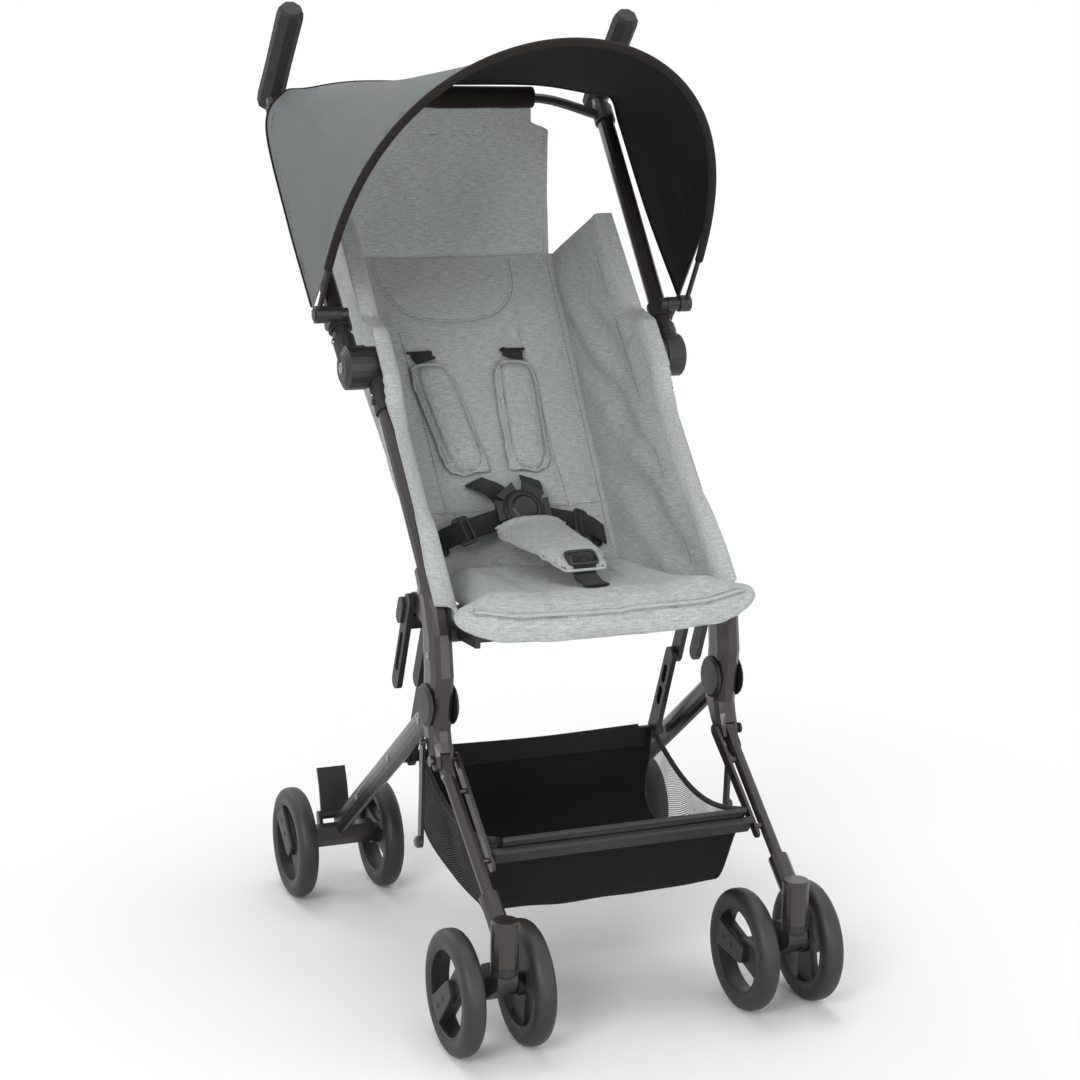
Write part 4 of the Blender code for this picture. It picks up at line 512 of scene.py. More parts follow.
def weave_group():
    """Plain weave: crossing threads, streaks of lighter and darker yarn, and soft pilling."""
    group, inp, out = effect_group("ClothWeave", (
        ("Vector", VECTOR, None), ("Thread", FLOAT, 0.0009), ("Light", COLOR, (0.4, 0.4, 0.4, 1)),
        ("Dark", COLOR, (0.2, 0.2, 0.2, 1)), ("Streaks", FLOAT, 0.6)))
    vector = inp.outputs["Vector"]
    split = group.nodes.new("ShaderNodeSeparateXYZ")
    group.links.new(vector, split.inputs[0])
    turns = maths(group, "DIVIDE", 2 * pi, inp.outputs["Thread"])
    depth = maths(group, "ADD", split.outputs[1], split.outputs[2])
    warp = maths(group, "SINE", maths(group, "MULTIPLY", split.outputs[0], turns))
    weft = maths(group, "SINE", maths(group, "MULTIPLY", depth, turns))
    cross = maths(group, "MULTIPLY", warp, weft)
    fuzz = noise_of(group, vector, 900.0, 2.0)
    streak = noise_of(group, vector, 1.0, 3.0, 0.62, (95.0, 620.0, 620.0))
    slub = noise_of(group, vector, 1.0, 2.0, 0.5, (700.0, 120.0, 120.0))
    cloud = noise_of(group, vector, 14.0, 3.0, 0.55)
    yarn = maths(group, "ADD", maths(group, "MULTIPLY", streak, 0.75), maths(group, "MULTIPLY", slub, 0.25))
    sharp = maths(group, "MULTIPLY_ADD", yarn, 3.2, -1.1, clamp=True)
    level = maths(group, "ADD", 0.5, maths(
        group, "MULTIPLY", maths(group, "SUBTRACT", sharp, 0.5), inp.outputs["Streaks"]), clamp=True)
    level = maths(group, "ADD", level, maths(group, "MULTIPLY", cross, 0.10), clamp=True)
    level = maths(group, "ADD", level, maths(group, "MULTIPLY_ADD", cloud, 0.22, -0.11), clamp=True)
    color = blend_of(group, level, inp.outputs["Dark"], inp.outputs["Light"])
    height = maths(group, "ADD", maths(group, "MULTIPLY", cross, 0.5), maths(group, "MULTIPLY", fuzz, 0.8))
    group.links.new(color, out.inputs["Color"])
    group.links.new(height, out.inputs["Height"])
    group.links.new(maths(group, "MULTIPLY_ADD", fuzz, 0.15, 0.80), out.inputs["Roughness"])
    return group


def grain_group():
    """Moulded or painted grain with faint cloudiness and paler worn edges."""
    group, inp, out = effect_group("MouldedGrain", (
        ("Vector", VECTOR, None), ("Scale", FLOAT, 1800.0), ("Base", COLOR, (0.1, 0.1, 0.1, 1)),
        ("Worn", COLOR, (0.2, 0.2, 0.2, 1)), ("Wear", FLOAT, 0.5), ("Rough", FLOAT, 0.5)))
    vector = inp.outputs["Vector"]
    grit = group.nodes.new("ShaderNodeTexNoise")
    grit.inputs["Detail"].default_value = 1.0
    group.links.new(vector, grit.inputs["Vector"])
    group.links.new(inp.outputs["Scale"], grit.inputs["Scale"])
    cloud = noise_of(group, vector, 22.0, 4.0, 0.6)
    scuff = noise_of(group, vector, 160.0, 3.0, 0.7)
    shape = group.nodes.new("ShaderNodeNewGeometry")
    edge = maths(group, "MULTIPLY_ADD", shape.outputs["Pointiness"], 9.0, -4.75, clamp=True)
    worn = maths(group, "MULTIPLY", maths(group, "MULTIPLY", edge, maths(
        group, "MULTIPLY_ADD", scuff, 1.6, -0.3, clamp=True)), inp.outputs["Wear"], clamp=True)
    shade = maths(group, "MULTIPLY_ADD", cloud, 0.16, -0.08)
    tone = maths(group, "ADD", worn, maths(group, "ABSOLUTE", shade), clamp=True)
    color = blend_of(group, tone, inp.outputs["Base"], inp.outputs["Worn"])
    rough = maths(group, "ADD", inp.outputs["Rough"], maths(
        group, "MULTIPLY_ADD", cloud, 0.14, -0.07), clamp=True)
    group.links.new(color, out.inputs["Color"])
    group.links.new(grit.outputs[0], out.inputs["Height"])
    group.links.new(rough, out.inputs["Roughness"])
    return group


GROUPS = {}


def finish_of(name, group, values, bump, strength, coords="Object", sheen=0.0, metallic=0.0, coat=0.0,
              specular=0.5):
    """A material whose colour, roughness and height come from one of the effect groups."""
    made = bpy.data.materials.new(name)
    made.use_nodes = True
    tree = made.node_tree
    shader = tree.nodes["Principled BSDF"]
    effect = tree.nodes.new("ShaderNodeGroup")
    effect.node_tree = GROUPS[group]
    place = tree.nodes.new("ShaderNodeTexCoord")
    tree.links.new(place.outputs[coords], effect.inputs["Vector"])
    for label, value in values.items():
        effect.inputs[label].default_value = value
    tree.links.new(effect.outputs["Color"], shader.inputs["Base Color"])
    tree.links.new(effect.outputs["Roughness"], shader.inputs["Roughness"])
    relief = tree.nodes.new("ShaderNodeBump")
    relief.inputs["Distance"].default_value = bump
    relief.inputs["Strength"].default_value = strength
    tree.links.new(effect.outputs["Height"], relief.inputs["Height"])
    tree.links.new(relief.outputs["Normal"], shader.inputs["Normal"])
    shader.inputs["Metallic"].default_value = metallic
    shader.inputs["Coat Weight"].default_value = coat
    shader.inputs["Coat Roughness"].default_value = 0.25
    shader.inputs["Sheen Weight"].default_value = sheen
    shader.inputs["Sheen Roughness"].default_value = 0.6
    shader.inputs["Specular IOR Level"].default_value = specular
    made.diffuse_color = next(v for v in values.values() if isinstance(v, tuple))
    return made


SKINS = {}


def paint(color, share):
    """The same colour made lighter (over 1) or darker (under 1)."""
    return (*(min(1.0, c * share) for c in color[:3]), 1.0)


def make_finishes(look):
    GROUPS["weave"] = weave_group()
    GROUPS["grain"] = grain_group()

    def cloth(name, color, light, dark, thread, streaks, coords="Object", sheen=0.1, bump=0.0004,
              strength=0.6):
        SKINS[name] = finish_of(name, "weave", {
            "Light": paint(color, light), "Dark": paint(color, dark), "Thread": thread,
            "Streaks": streaks}, bump, strength, coords, sheen, specular=0.25)

    def solid(name, color, worn, scale, wear, rough, bump, strength, **more):
        SKINS[name] = finish_of(name, "grain", {
            "Base": (*color[:3], 1.0), "Worn": paint(color, worn), "Scale": scale, "Wear": wear,
            "Rough": rough}, bump, strength, **more)

    grey, dark, shade = look.cloth_color, look.black_color, look.canopy_color
    cloth("melange_cloth", grey, 1.16, 0.66, 0.0011, 0.95, "UV")
    cloth("melange_padding", grey, 1.16, 0.66, 0.0011, 0.95)
    cloth("melange_piping", grey, 1.12, 0.70, 0.0011, 0.7)
    cloth("canopy_outside", shade, 1.18, 0.80, 0.0012, 0.55, "UV")
    cloth("canopy_cloth", shade, 1.18, 0.80, 0.0012, 0.55)
    # near-black lining, made darker still as painted shade of the canopy's inside
    cloth("canopy_lining", linear((15, 15, 15)), 1.1, 0.7, 0.0010, 0.3, "UV", 0.0)
    cloth("dark_hem", linear((36, 31, 30)), 1.2, 0.75, 0.0009, 0.4, sheen=0.0, bump=0.0003)
    cloth("black_cloth", dark, 1.2, 0.7, 0.0010, 0.35, "UV", 0.02)
    cloth("webbing", linear((26, 26, 27)), 1.35, 0.6, 0.0016, 0.2, "UV", 0.1, 0.0005, 0.9)
    cloth("elastic", linear((24, 24, 25)), 1.3, 0.6, 0.0012, 0.2)
    # seam thread darker than the seat cloth: its own colour plus painted shade of the sewn grooves
    cloth("seam_thread_and_shade", linear((104, 110, 110)), 1.1, 0.85, 0.0004, 0.2)
    cloth("dark_thread", linear((30, 31, 32)), 1.2, 0.8, 0.0004, 0.2)
    solid("painted_frame", look.frame_color, 1.9, 2600.0, 0.35, 0.34, 0.00006, 0.35, metallic=0.35,
          coat=0.35)
    solid("black_plastic", look.plastic_color, 2.1, 2200.0, 0.35, 0.46, 0.00012, 0.5)
    solid("grip_foam", look.plastic_color, 1.5, 1500.0, 0.2, 0.72, 0.0003, 0.8)
    solid("wheel_rubber", look.tyre_color, 1.8, 1400.0, 0.3, 0.50, 0.00015, 0.5)
    solid("bare_steel", linear((150, 150, 150)), 1.3, 1200.0, 0.2, 0.28, 0.00004, 0.3, metallic=1.0)
    SKINS["side_net"] = net_finish()


def net_finish():
    """Open net of the basket's sides: fine holes in a pale mesh."""
    thread_pitch, net_pitch = 0.0024, 0.0042
    made = finish_of("side_net", "weave", {
        "Light": linear((86, 86, 87)), "Dark": linear((48, 48, 49)), "Thread": thread_pitch,
        "Streaks": 0.3}, 0.0004, 0.6, "UV", 0.05, specular=0.25)
    tree = made.node_tree
    place = next(n for n in tree.nodes if n.type == "TEX_COORD")
    split = tree.nodes.new("ShaderNodeSeparateXYZ")
    tree.links.new(place.outputs["UV"], split.inputs[0])
    turns = pi / net_pitch
    a = maths(tree, "SINE", maths(tree, "MULTIPLY", maths(
        tree, "ADD", split.outputs[0], split.outputs[1]), turns))
    b = maths(tree, "SINE", maths(tree, "MULTIPLY", maths(
        tree, "SUBTRACT", split.outputs[0], split.outputs[1]), turns))
    hole = maths(tree, "GREATER_THAN", maths(tree, "ABSOLUTE", maths(tree, "MULTIPLY", a, b)), 0.22)
    tree.links.new(maths(tree, "SUBTRACT", 1.0, hole), tree.nodes["Principled BSDF"].inputs["Alpha"])
    return made


def color_property(name, description, rgb):
    return FloatVectorProperty(
        name=name, description=description, subtype="COLOR", size=4, min=0, max=1, default=linear(rgb))


class StrollerLook(bpy.types.PropertyGroup):
    """Colours of the stroller's finishes."""

    cloth_color: color_property("Seat cloth", "Middle tone of the grey melange cloth", (184, 189, 188))
    black_color: color_property("Black cloth", "Basket, lining and bands", (15, 15, 15))
    canopy_color: color_property("Canopy", "Outside of the canopy", (110, 114, 114))
    frame_color: color_property("Frame paint", "Painted tubes and legs", (50, 45, 43))
    plastic_color: color_property("Plastic", "Housings, hinges, grips and forks", (34, 32, 32))
    tyre_color: color_property("Tyres", "Wheel rubber", (40, 38, 37))
    floor_color: color_property("Floor", "Studio floor and backdrop", (246, 246, 246))


class StrollerSizes(bpy.types.PropertyGroup):
    """Sizes of the soft goods' details."""

    piping: FloatProperty(
        name="Piping", description="Radius of the corded borders", default=0.0021, min=0.0005, max=0.01,
        unit="LENGTH")
    strap_width: FloatProperty(
        name="Strap width", description="Width of the harness straps", default=0.025, min=0.01, max=0.05,
        unit="LENGTH")
    padding: FloatProperty(
        name="Padding swell", description="How far filled pads may swell", default=0.0045, min=0,
        max=0.02, unit="LENGTH")
    bow_sleeve: FloatProperty(
        name="Hem sleeve", description="Radius of the sleeve round the canopy bow", default=0.0046,
        min=0.003, max=0.02, unit="LENGTH")


def look():
    return bpy.context.scene.stroller_look


def sizes():
    return bpy.context.scene.stroller_sizes


def seen_rays(tree):
    """One for camera rays and for the reflections and transparency that show the background."""
    path = tree.nodes.new("ShaderNodeLightPath")
    both = maths(tree, "ADD", path.outputs["Is Camera Ray"], path.outputs["Is Glossy Ray"], clamp=True)
    return maths(tree, "ADD", both, path.outputs["Is Transmission Ray"], clamp=True)


def mix_to(tree, output, share, a, b):
    """Puts a mix of two shaders into an output."""
    mixed = tree.nodes.new("ShaderNodeMixShader")
    for socket, value in zip(mixed.inputs, (share, a.outputs[0], b.outputs[0])):
        tree.links.new(value, socket)
    tree.links.new(mixed.outputs[0], tree.nodes[output].inputs["Surface"])


def aimed(spot, way):
    """The place of a camera or lamp that looks along a way."""
    return Matrix.Translation(spot) @ way.to_track_quat("-Z", "Y").to_matrix().to_4x4()


class STROLLER_OT_stage(bpy.types.Operator):
    """Adds the floor, the backdrop, the lights and the camera"""

    bl_idname = "stroller.stage"
    bl_label = "Studio"

    def execute(self, context):
        scene = context.scene
        scene.view_settings.view_transform = "Standard"
        data = bpy.data.cameras.new("camera")
        data.lens = 77.1
        data.sensor_width = 36.0
        camera = bpy.data.objects.new("camera", data)
        scene.collection.objects.link(camera)
        az, el = radians(-22.87), radians(12.61)
        way = Vector((-sin(az) * cos(el), cos(az) * cos(el), -sin(el)))
        camera.matrix_world = aimed((-0.954, -2.268, 0.997), way) @ Matrix.Rotation(radians(1.1), 4, "Z")
        scene.camera = camera

        form = bmesh.new()
        rows = [[form.verts.new((x, y, 0.0)) for x in (-8.0, -4.0, 0.0, 4.0, 8.0)]
                for y in (-8.0, -4.0, 0.0, 4.0, 8.0, 14.0)]
        for a, b in zip(rows, rows[1:]):
            for k in range(4):
                form.faces.new((a[k], a[k + 1], b[k + 1], b[k]))
        paper = bpy.data.materials.new("studio_paper")
        paper.use_nodes = True
        tree = paper.node_tree
        shader = tree.nodes["Principled BSDF"]
        place = tree.nodes.new("ShaderNodeTexCoord")
        cloud = noise_of(tree, place.outputs["Object"], 1.2, 2.0)
        tone = blend_of(tree, maths(tree, "MULTIPLY", cloud, 0.12), tuple(look().floor_color),
                        paint(look().floor_color, 0.94))
        tree.links.new(tone, shader.inputs["Base Color"])
        shader.inputs["Roughness"].default_value = 0.9
        shader.inputs["Specular IOR Level"].default_value = 0.1
        # away from the stroller the paper shows plain white
        far = tree.nodes.new("ShaderNodeVectorMath")
        far.operation = "LENGTH"
        tree.links.new(place.outputs["Object"], far.inputs[0])
        fade = maths(tree, "MULTIPLY_ADD", far.outputs["Value"], 1.6, -0.64, clamp=True)
        white = tree.nodes.new("ShaderNodeEmission")
        mix_to(tree, "Material Output", maths(tree, "MULTIPLY", fade, seen_rays(tree)), shader, white)
        from_form("studio_floor", form, paper, smooth=180)

        world = bpy.data.worlds.new("studio")
        scene.world = world
        world.use_nodes = True
        tree = world.node_tree
        soft = tree.nodes["Background"]
        soft.inputs["Color"].default_value = (1, 1, 1, 1)
        soft.inputs["Strength"].default_value = 0.52
        plain = tree.nodes.new("ShaderNodeBackground")
        plain.inputs["Color"].default_value = (1, 1, 1, 1)
        mix_to(tree, "World Output", seen_rays(tree), soft, plain)
        middle = Vector((0.0, 0.0, 0.5))
        for name, spot, power, size in (
                ("key_light", (-2.4, -2.6, 2.2), 58.0, 1.4), ("front_light", (0.3, -3.4, 0.9), 24.0, 1.8),
                ("fill_light", (2.9, -1.9, 1.7), 14.0, 2.0), ("top_light", (0.2, 0.6, 3.4), 42.0, 2.2),
                ("rim_light", (-1.4, 2.6, 1.9), 16.0, 1.4)):
            lamp = bpy.data.lights.new(name, "AREA")
            lamp.energy = power
            lamp.shape = "SQUARE"
            lamp.size = size
            made = bpy.data.objects.new(name, lamp)
            scene.collection.objects.link(made)
            spot = Vector(spot)
            made.matrix_world = aimed(spot, middle - spot)
        return {"FINISHED"}


class STROLLER_OT_finishes(bpy.types.Operator):
    """Makes the finishes and puts them on the frame's own parts"""

    bl_idname = "stroller.finishes"
    bl_label = "Finishes"

    def execute(self, context):
        make_finishes(look())
        for name, node in frame["nodes"].items():
            for slot in node.material_slots:
                kind = "grip_foam" if name.startswith("grip_") else slot.material.name.split(".")[0]
                slot.link = "OBJECT"
                slot.material = SKINS[kind]
        return {"FINISHED"}


def mirrored(half, middle=()):
    """An outline from its first half."""
    return [*half, *middle, *((a, -b) for a, b in half[::-1])]


def wheel(name, body, node):
    """A plastic wheel with a wide bar across its open middle and a smooth tyre."""
    low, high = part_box(node)
    centre = middle_of(node)
    out = 1.0 if (centre.x > 0) == node.endswith("outer") else -1.0
    # the boss stands 0.2 mm proud of the tyre's half-width on the inner face
    boss = 0.0117
    centre.x = high[0] - boss if out < 0 else low[0] + boss
    way = out * X
    form = bmesh.new()
    tyre = mirrored([
        (0.0452, -0.0096), (0.0470, -0.0106), (0.0500, -0.0112), (0.0530, -0.0115), (0.0560, -0.0112),
        (0.0588, -0.0102), (0.0611, -0.0084), (0.0626, -0.0060), (0.0633, -0.0036), (0.0635, -0.0012)])
    hoop(form, tyre, centre, way, 72, 0)
    hoop(form, [(0.0458, -0.0092), (0.0458, 0.0092), (0.0452, 0.0100), (0.0440, 0.0100), (0.0432, 0.0092),
                (0.0426, 0.0030), (0.0426, -0.0030), (0.0432, -0.0092), (0.0440, -0.0100),
                (0.0452, -0.0100)], centre, way, 72, 1)
    spin = radians(9.0 + 18.0 * WHEEL_TURNS[node])
    fore = Vector((0.0, cos(spin), sin(spin)))
    rise = X.cross(fore) * out

    def place(a, b, c):
        return centre + a * fore + b * rise + c * way

    bar = 0.0440
    outline = []
    for sign in (1, -1):
        for a in range(-20, 21, 8):
            outline.append((sign * bar * cos(radians(a)), sign * bar * sin(radians(a))))
        for share in (0.82, 0.62, 0.42, 0.2, 0.0, -0.2, -0.42, -0.62, -0.82):
            y = sign * share * bar
            outline.append((y, sign * (0.0128 + 0.0040 * (y / bar) ** 2)))
    slab(form, outline, place, -0.00425, 0.00425, 0.0006, 1)
    cover = mirrored([(-0.0140, -0.0052), (-0.0128, -0.0080), (-0.0095, -0.0098), (0.0410, -0.0148),
                      (0.0424, -0.0130)], [(0.0430, 0.0)])
    slab(form, cover, place, 0.0030, 0.0108, 0.0014, 1)
    turned(form, [(0.0044, -boss), (0.0112, -boss), (0.0120, -0.0108), (0.0120, 0.0060),
                  (0.0080, 0.0064)], centre, way, 32, 1)
    turned(form, [(0.0044, -boss), (0.0044, 0.0056), (0.0, 0.0056)], centre, way, 24, 1)
    for spot in (0.012, 0.030):
        turned(form, [(0.0030, 0.0104), (0.0030, 0.0112), (0.0024, 0.0115), (0.0, 0.0115)],
               centre + spot * fore, way, 16, 1)
    made = from_form(name, form, SKINS["wheel_rubber"], SKINS["black_plastic"], smooth=35.0)
    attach(made, body)
    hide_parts(node)
    return made


WHEEL_TURNS = {
    "rear_wheel_L_outer": 0, "rear_wheel_L_inner": 3, "rear_wheel_R_outer": 2, "rear_wheel_R_inner": 20,
    "front_wheel_L_outer": 4, "front_wheel_L_inner": 20, "front_wheel_R_outer": 17,
    "front_wheel_R_inner": 5}


class STROLLER_OT_wheels(bpy.types.Operator):
    """Builds the eight wheels"""

    bl_idname = "stroller.wheels"
    bl_label = "Wheels"

    def execute(self, context):
        for node in WHEEL_TURNS:
            wheel("dressed_" + node, node, node)
        return {"FINISHED"}


# Seat back with its wings

def edge_depth(s):
    if s < 0.045:
        front = 0.0138
    elif s < RAIL_L - HINGE_R - SLEEVE_L - 0.015:
        front = 0.010
    elif s < RAIL_L - HINGE_R - 0.008:
        front = 0.0134
    elif s < RAIL_L + HINGE_R + 0.008:
        front = 0.0247
    else:
        front = 0.003
    return -(front + CLOTH / 2 + 0.0005)


def soft_depth(s):
    """edge_depth with its steps eased, never nearer the rail."""
    reach = 0.014
    total = 0.0
    for k in range(-4, 5):
        middle = s + reach * k / 4
        total += min(edge_depth(middle + reach * d / 4) for d in range(-4, 5))
    return total / 9


def back_point(u, v, ripples=True):
    a, side = abs(u), (1 if u >= 0 else -1)
    w = min(1.0, max(0.0, (a - 1) / 0.75))
    past = max(0.0, (a - 1.75) / 0.25)
    plane = BACK_DEPTH - 0.004 * min(a, 1.0) ** 2
    deep = plane * (1 - w) + edge_depth(0.0) * past
    top = BACK_TOP + (WING_PEAK - BACK_TOP) * w
    level = 0.400 + 0.0035 - 0.004 * w + 0.022 * past
    low = (level - MOUTH.z - deep * BEHIND.z) / ALONG.z
    s = low + (top - low) * v
    half = BACK_HALF_LOW + (BACK_HALF_TOP - BACK_HALF_LOW) * max(0.0, s - BACK_LOW) / (BACK_TOP - BACK_LOW)
    crease = 0.0030 * sin(2.5 * pi * w) * sin(pi * v)
    if a <= 1:
        n = plane + 0.0015 * sin(3 * pi * v) * (1 - a)
        x = half * a
    else:
        n = (BACK_DEPTH - 0.004) * (1 - w)
        wall = half + (WING_SIDE_X - half) * w ** 0.8
        x = wall - crease - 0.0015 * (1 + sin(5 * pi * v + 2 * w)) * sin(pi * w)
        if a > 1.75:
            c, sn = cos(past * radians(104.0)), sin(past * radians(104.0))
            square = 5.0 - 2.8 * ease((s - 0.045) / 0.03) * ease((RAIL_L - 0.0585 - s) / 0.03)
            flare = 0.5 + 0.4 * min(1.0, max(0.0, 1 - s / 0.05))
            x = RAIL_X - (RAIL_X - WING_SIDE_X) * abs(c) ** (2 / square) * (1 if c > 0 else -flare)
            n = soft_depth(s) * abs(sn) ** (2 / square)
    spot = on_back(side * x, s, n)
    if ripples and a < 1.7:
        fade = ease((1.7 - a) / 0.15) * ease(v / 0.08) * ease((1 - v) / 0.06)
        across = X * side if a > 1 else BEHIND
        diag = Vector((side * a * 0.7 + v, v - 0.55 * side * a, 0.0))
        fold = 0.5 * ripple((diag.x * 6.0, diag.y * 1.4, side), 1.0, 3.0) + 0.5 * ripple(
            (a * 3.0, v * 9.0, side), 1.0, 8.0)
        # the wings carry soft folds, the panel lies nearly flat; both only move away from neighbours
        by = ((0.0024 + 0.0130 * ease((a - 1.0) / 0.25)) * fold + 0.0008) * fade
        spot = spot - (max(-0.0022, min(0.0080, by)) * across if a > 1 else -0.4 * abs(by) * across)
    return spot, s


def back_spot(x, s):
    """Parameters u, v on the back for a side and height, for seams that are drawn on it."""
    half = 0.116 + 0.031 * max(0.0, s - BACK_LOW) / (BACK_TOP - BACK_LOW)
    u = x / half
    plane = BACK_DEPTH - 0.004 * min(abs(u), 1.0) ** 2
    low = (0.4035 - MOUTH.z - plane * BEHIND.z) / ALONG.z
    return u, (s - low) / (BACK_TOP - low)


def seam_of(obj, tree, threads, path, depth, width, rows=(0.0,)):
    """Sinks a channel along a path and sews one or more stitch rows beside it."""
    line = laid(tree, path, 0.001)
    if len(line) < 4:
        raise RuntimeError("a seam misses " + obj.name)
    press(obj, [line[::3]], depth, width)
    fresh = skin_of(obj)
    for row in rows:
        shifted = []
        for i, (spot, look_way) in enumerate(line):
            way = (line[min(i + 1, len(line) - 1)][0] - line[max(i - 1, 0)][0]).normalized()
            shifted.append(spot + row * way.cross(look_way))
        stitch(threads, laid(fresh, shifted, 0.001))


class STROLLER_OT_seat_back(bpy.types.Operator):
    """Builds the seat back and its wings with their seams"""

    bl_idname = "stroller.seat_back"
    bl_label = "Seat Back"

    def execute(self, context):
        columns = [k / 22 for k in range(20)] + [0.90, 0.93, 0.955, 0.975, 0.99, 1.005, 1.02, 1.04, 1.07]
        columns += [1.11 + 0.04 * k for k in range(16)] + [1.75 + 0.25 * k / 12 for k in range(1, 13)]
        columns = sorted(set(round(c, 4) for c in columns))
        columns = [-c for c in columns[:0:-1]] + columns
        rows = [[back_point(u, v / 95)[0] for u in columns] for v in range(96)]
        skin, piping = SKINS["melange_cloth"], SKINS["melange_piping"]
        back = cloth_sheet("seat_back_cloth", rows, CLOTH, [skin, skin], (0.70, 0.46))
        threads = bmesh.new()
        cords = bmesh.new()
        tree = skin_of(back)
        # raised band along the corner between the back and each wing, with a crease outside it
        for side in (1, -1):
            for a, depth, width, band in ((0.905, 0.0022, 0.0022, (0.0028,)), (1.03, 0.0040, 0.0032, ())):
                path = [back_point(side * a, v / 60, False)[0] for v in range(3, 60)]
                seam_of(back, tree, threads, path, depth, width, rows=band)
        # double-stitched panel below the top edge
        outline = [(0.085, 0.487), (0.084, 0.462), (0.078, 0.438), (0.062, 0.416), (0.038, 0.404),
                   (0.0, 0.400), (-0.038, 0.404), (-0.062, 0.416), (-0.078, 0.438), (-0.084, 0.462),
                   (-0.085, 0.487)]
        path = smooth_line([back_point(*back_spot(x, s), False)[0] for x, s in outline], 8)
        seam_of(back, tree, threads, path, 0.0022, 0.0026, rows=(-0.0019, 0.0019))
        for side in (1, -1):
            path = [back_point(*back_spot(side * 0.074, 0.385 - 0.245 * k / 40), False)[0]
                    for k in range(41)]
            seam_of(back, tree, threads, path, 0.0024, 0.0026, rows=(0.0,))
            path = [back_point(side * 1.66, v / 60, False)[0] for v in range(5, 56)]
            seam_of(back, tree, threads, path, 0.0014, 0.0020, rows=(0.0,))
        path = [back_point(*back_spot(0.112 * (k / 30 - 1), 0.142), False)[0] for k in range(61)]
        seam_of(back, tree, threads, path, 0.0024, 0.0026, rows=(0.0,))
        tree = skin_of(back)
        # corded top edge and wing hems
        for points in ([back_point(-1 + k / 30, 0.997, False)[0] for k in range(61)],
                       [back_point(1.05 + 0.7 * k / 30, 0.996, False)[0] for k in range(31)],
                       [back_point(-1.05 - 0.7 * k / 30, 0.996, False)[0] for k in range(31)]):
            ring_tube(cords, [p + 0.0006 * ALONG for p in even_line(points, 0.003)], sizes().piping, 10)
        sewn = from_form("seat_back_stitches", threads, SKINS["seam_thread_and_shade"], smooth=180)
        edging = from_form("seat_back_piping", cords, piping, smooth=180)
        for made in (back, sewn, edging):
            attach(made, "chassis")
        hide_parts("seat_back")
        return {"FINISHED"}


# Seat cushion and pads

class STROLLER_OT_cushion(bpy.types.Operator):
    """Builds the padded seat with its piped front"""

    bl_idname = "stroller.cushion"
    bl_label = "Seat Cushion"

    def execute(self, context):
        pad = soft_copy("seat_cushion_cover", "seat_cushion", SKINS["melange_padding"])
        plumped(pad, 0.0052, 0.0012, sizes().padding + 0.0005, rest=-UP)
        for vertex in pad.data.vertices:
            spot = vertex.co
            if vertex.normal.z > 0.2:
                spot.z += 0.0011 * ripple((spot.x * 22, spot.y * 9, 0.0), 1.0, 4.0) - 0.0006
        tree = skin_of(pad)
        threads = bmesh.new()
        cords = bmesh.new()
        front = PIVOT.y
        line = []
        for k in range(61):
            x = -0.150 + 0.30 * k / 60
            rims = [tree.ray_cast(Vector((x, front - 0.3, z)), Vector((0, 1, 0)))[0]
                    for z in (0.395, 0.400, 0.405, 0.410, 0.415)]
            rims = [p.y for p in rims if p is not None and p.y < front]
            if not rims:
                continue
            hit = tree.ray_cast(Vector((x, min(rims) + 0.0065, 0.6)), -UP)
            if hit[0] is not None:
                line.append((hit[0], hit[1]))
        if len(line) < 40:
            raise RuntimeError("the cushion's front seam misses it")
        ys = [p.y for p, _ in line]
        line = [(Vector((p.x, sum(ys[max(0, i - 3):i + 4]) / len(ys[max(0, i - 3):i + 4]), p.z)), n)
                for i, (p, n) in enumerate(line)]
        line = [tree.find_nearest(p)[:2] for p, _ in line]
        press(pad, [line], 0.0014, 0.004)
        ring_tube(cords, [p + 0.0008 * n for p, n in line], sizes().piping, 10)
        fresh = skin_of(pad)
        for row in (0.0052, -0.0050):
            stitch(threads, laid(fresh, [p + Vector((0, row, 0)) for p, _ in line], 0.001))
        for side in (1, -1):
            path = [Vector((side * (0.066 - 0.01 * k / 20), front - 0.072 + 0.18 * k / 20, 0.6))
                    for k in range(21)]
            seam = [tree.ray_cast(p + 0.3 * UP, -UP)[:2] for p in path]
            seam = [(p, n) for p, n in seam if p is not None]
            if len(seam) > 4:
                fine = laid(tree, [p for p, _ in seam], 0.002)
                press(pad, [fine], 0.0022, 0.0055)
        sewn = from_form("seat_cushion_stitches", threads, SKINS["seam_thread_and_shade"], smooth=180)
        edging = from_form("seat_cushion_piping", cords, SKINS["melange_piping"], smooth=180)
        for made in (pad, sewn, edging):
            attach(made, "chassis")
        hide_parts("seat_cushion")
        return {"FINISHED"}


def rim_line(obj, centre, across, along, half_w, half_l, power, count=90):
    """The border of a pad: the spots on it nearest to a rounded frame round it."""
    tree = skin_of(obj)
    out = []
    for c, s in round_steps(count):
        x, y = signed(c, 2 / power), signed(s, 2 / power)
        aim = centre + x * half_w * across + y * half_l * along
        hit = tree.find_nearest(aim)
        if hit[0] is not None:
            out.append(hit[0])
    return out


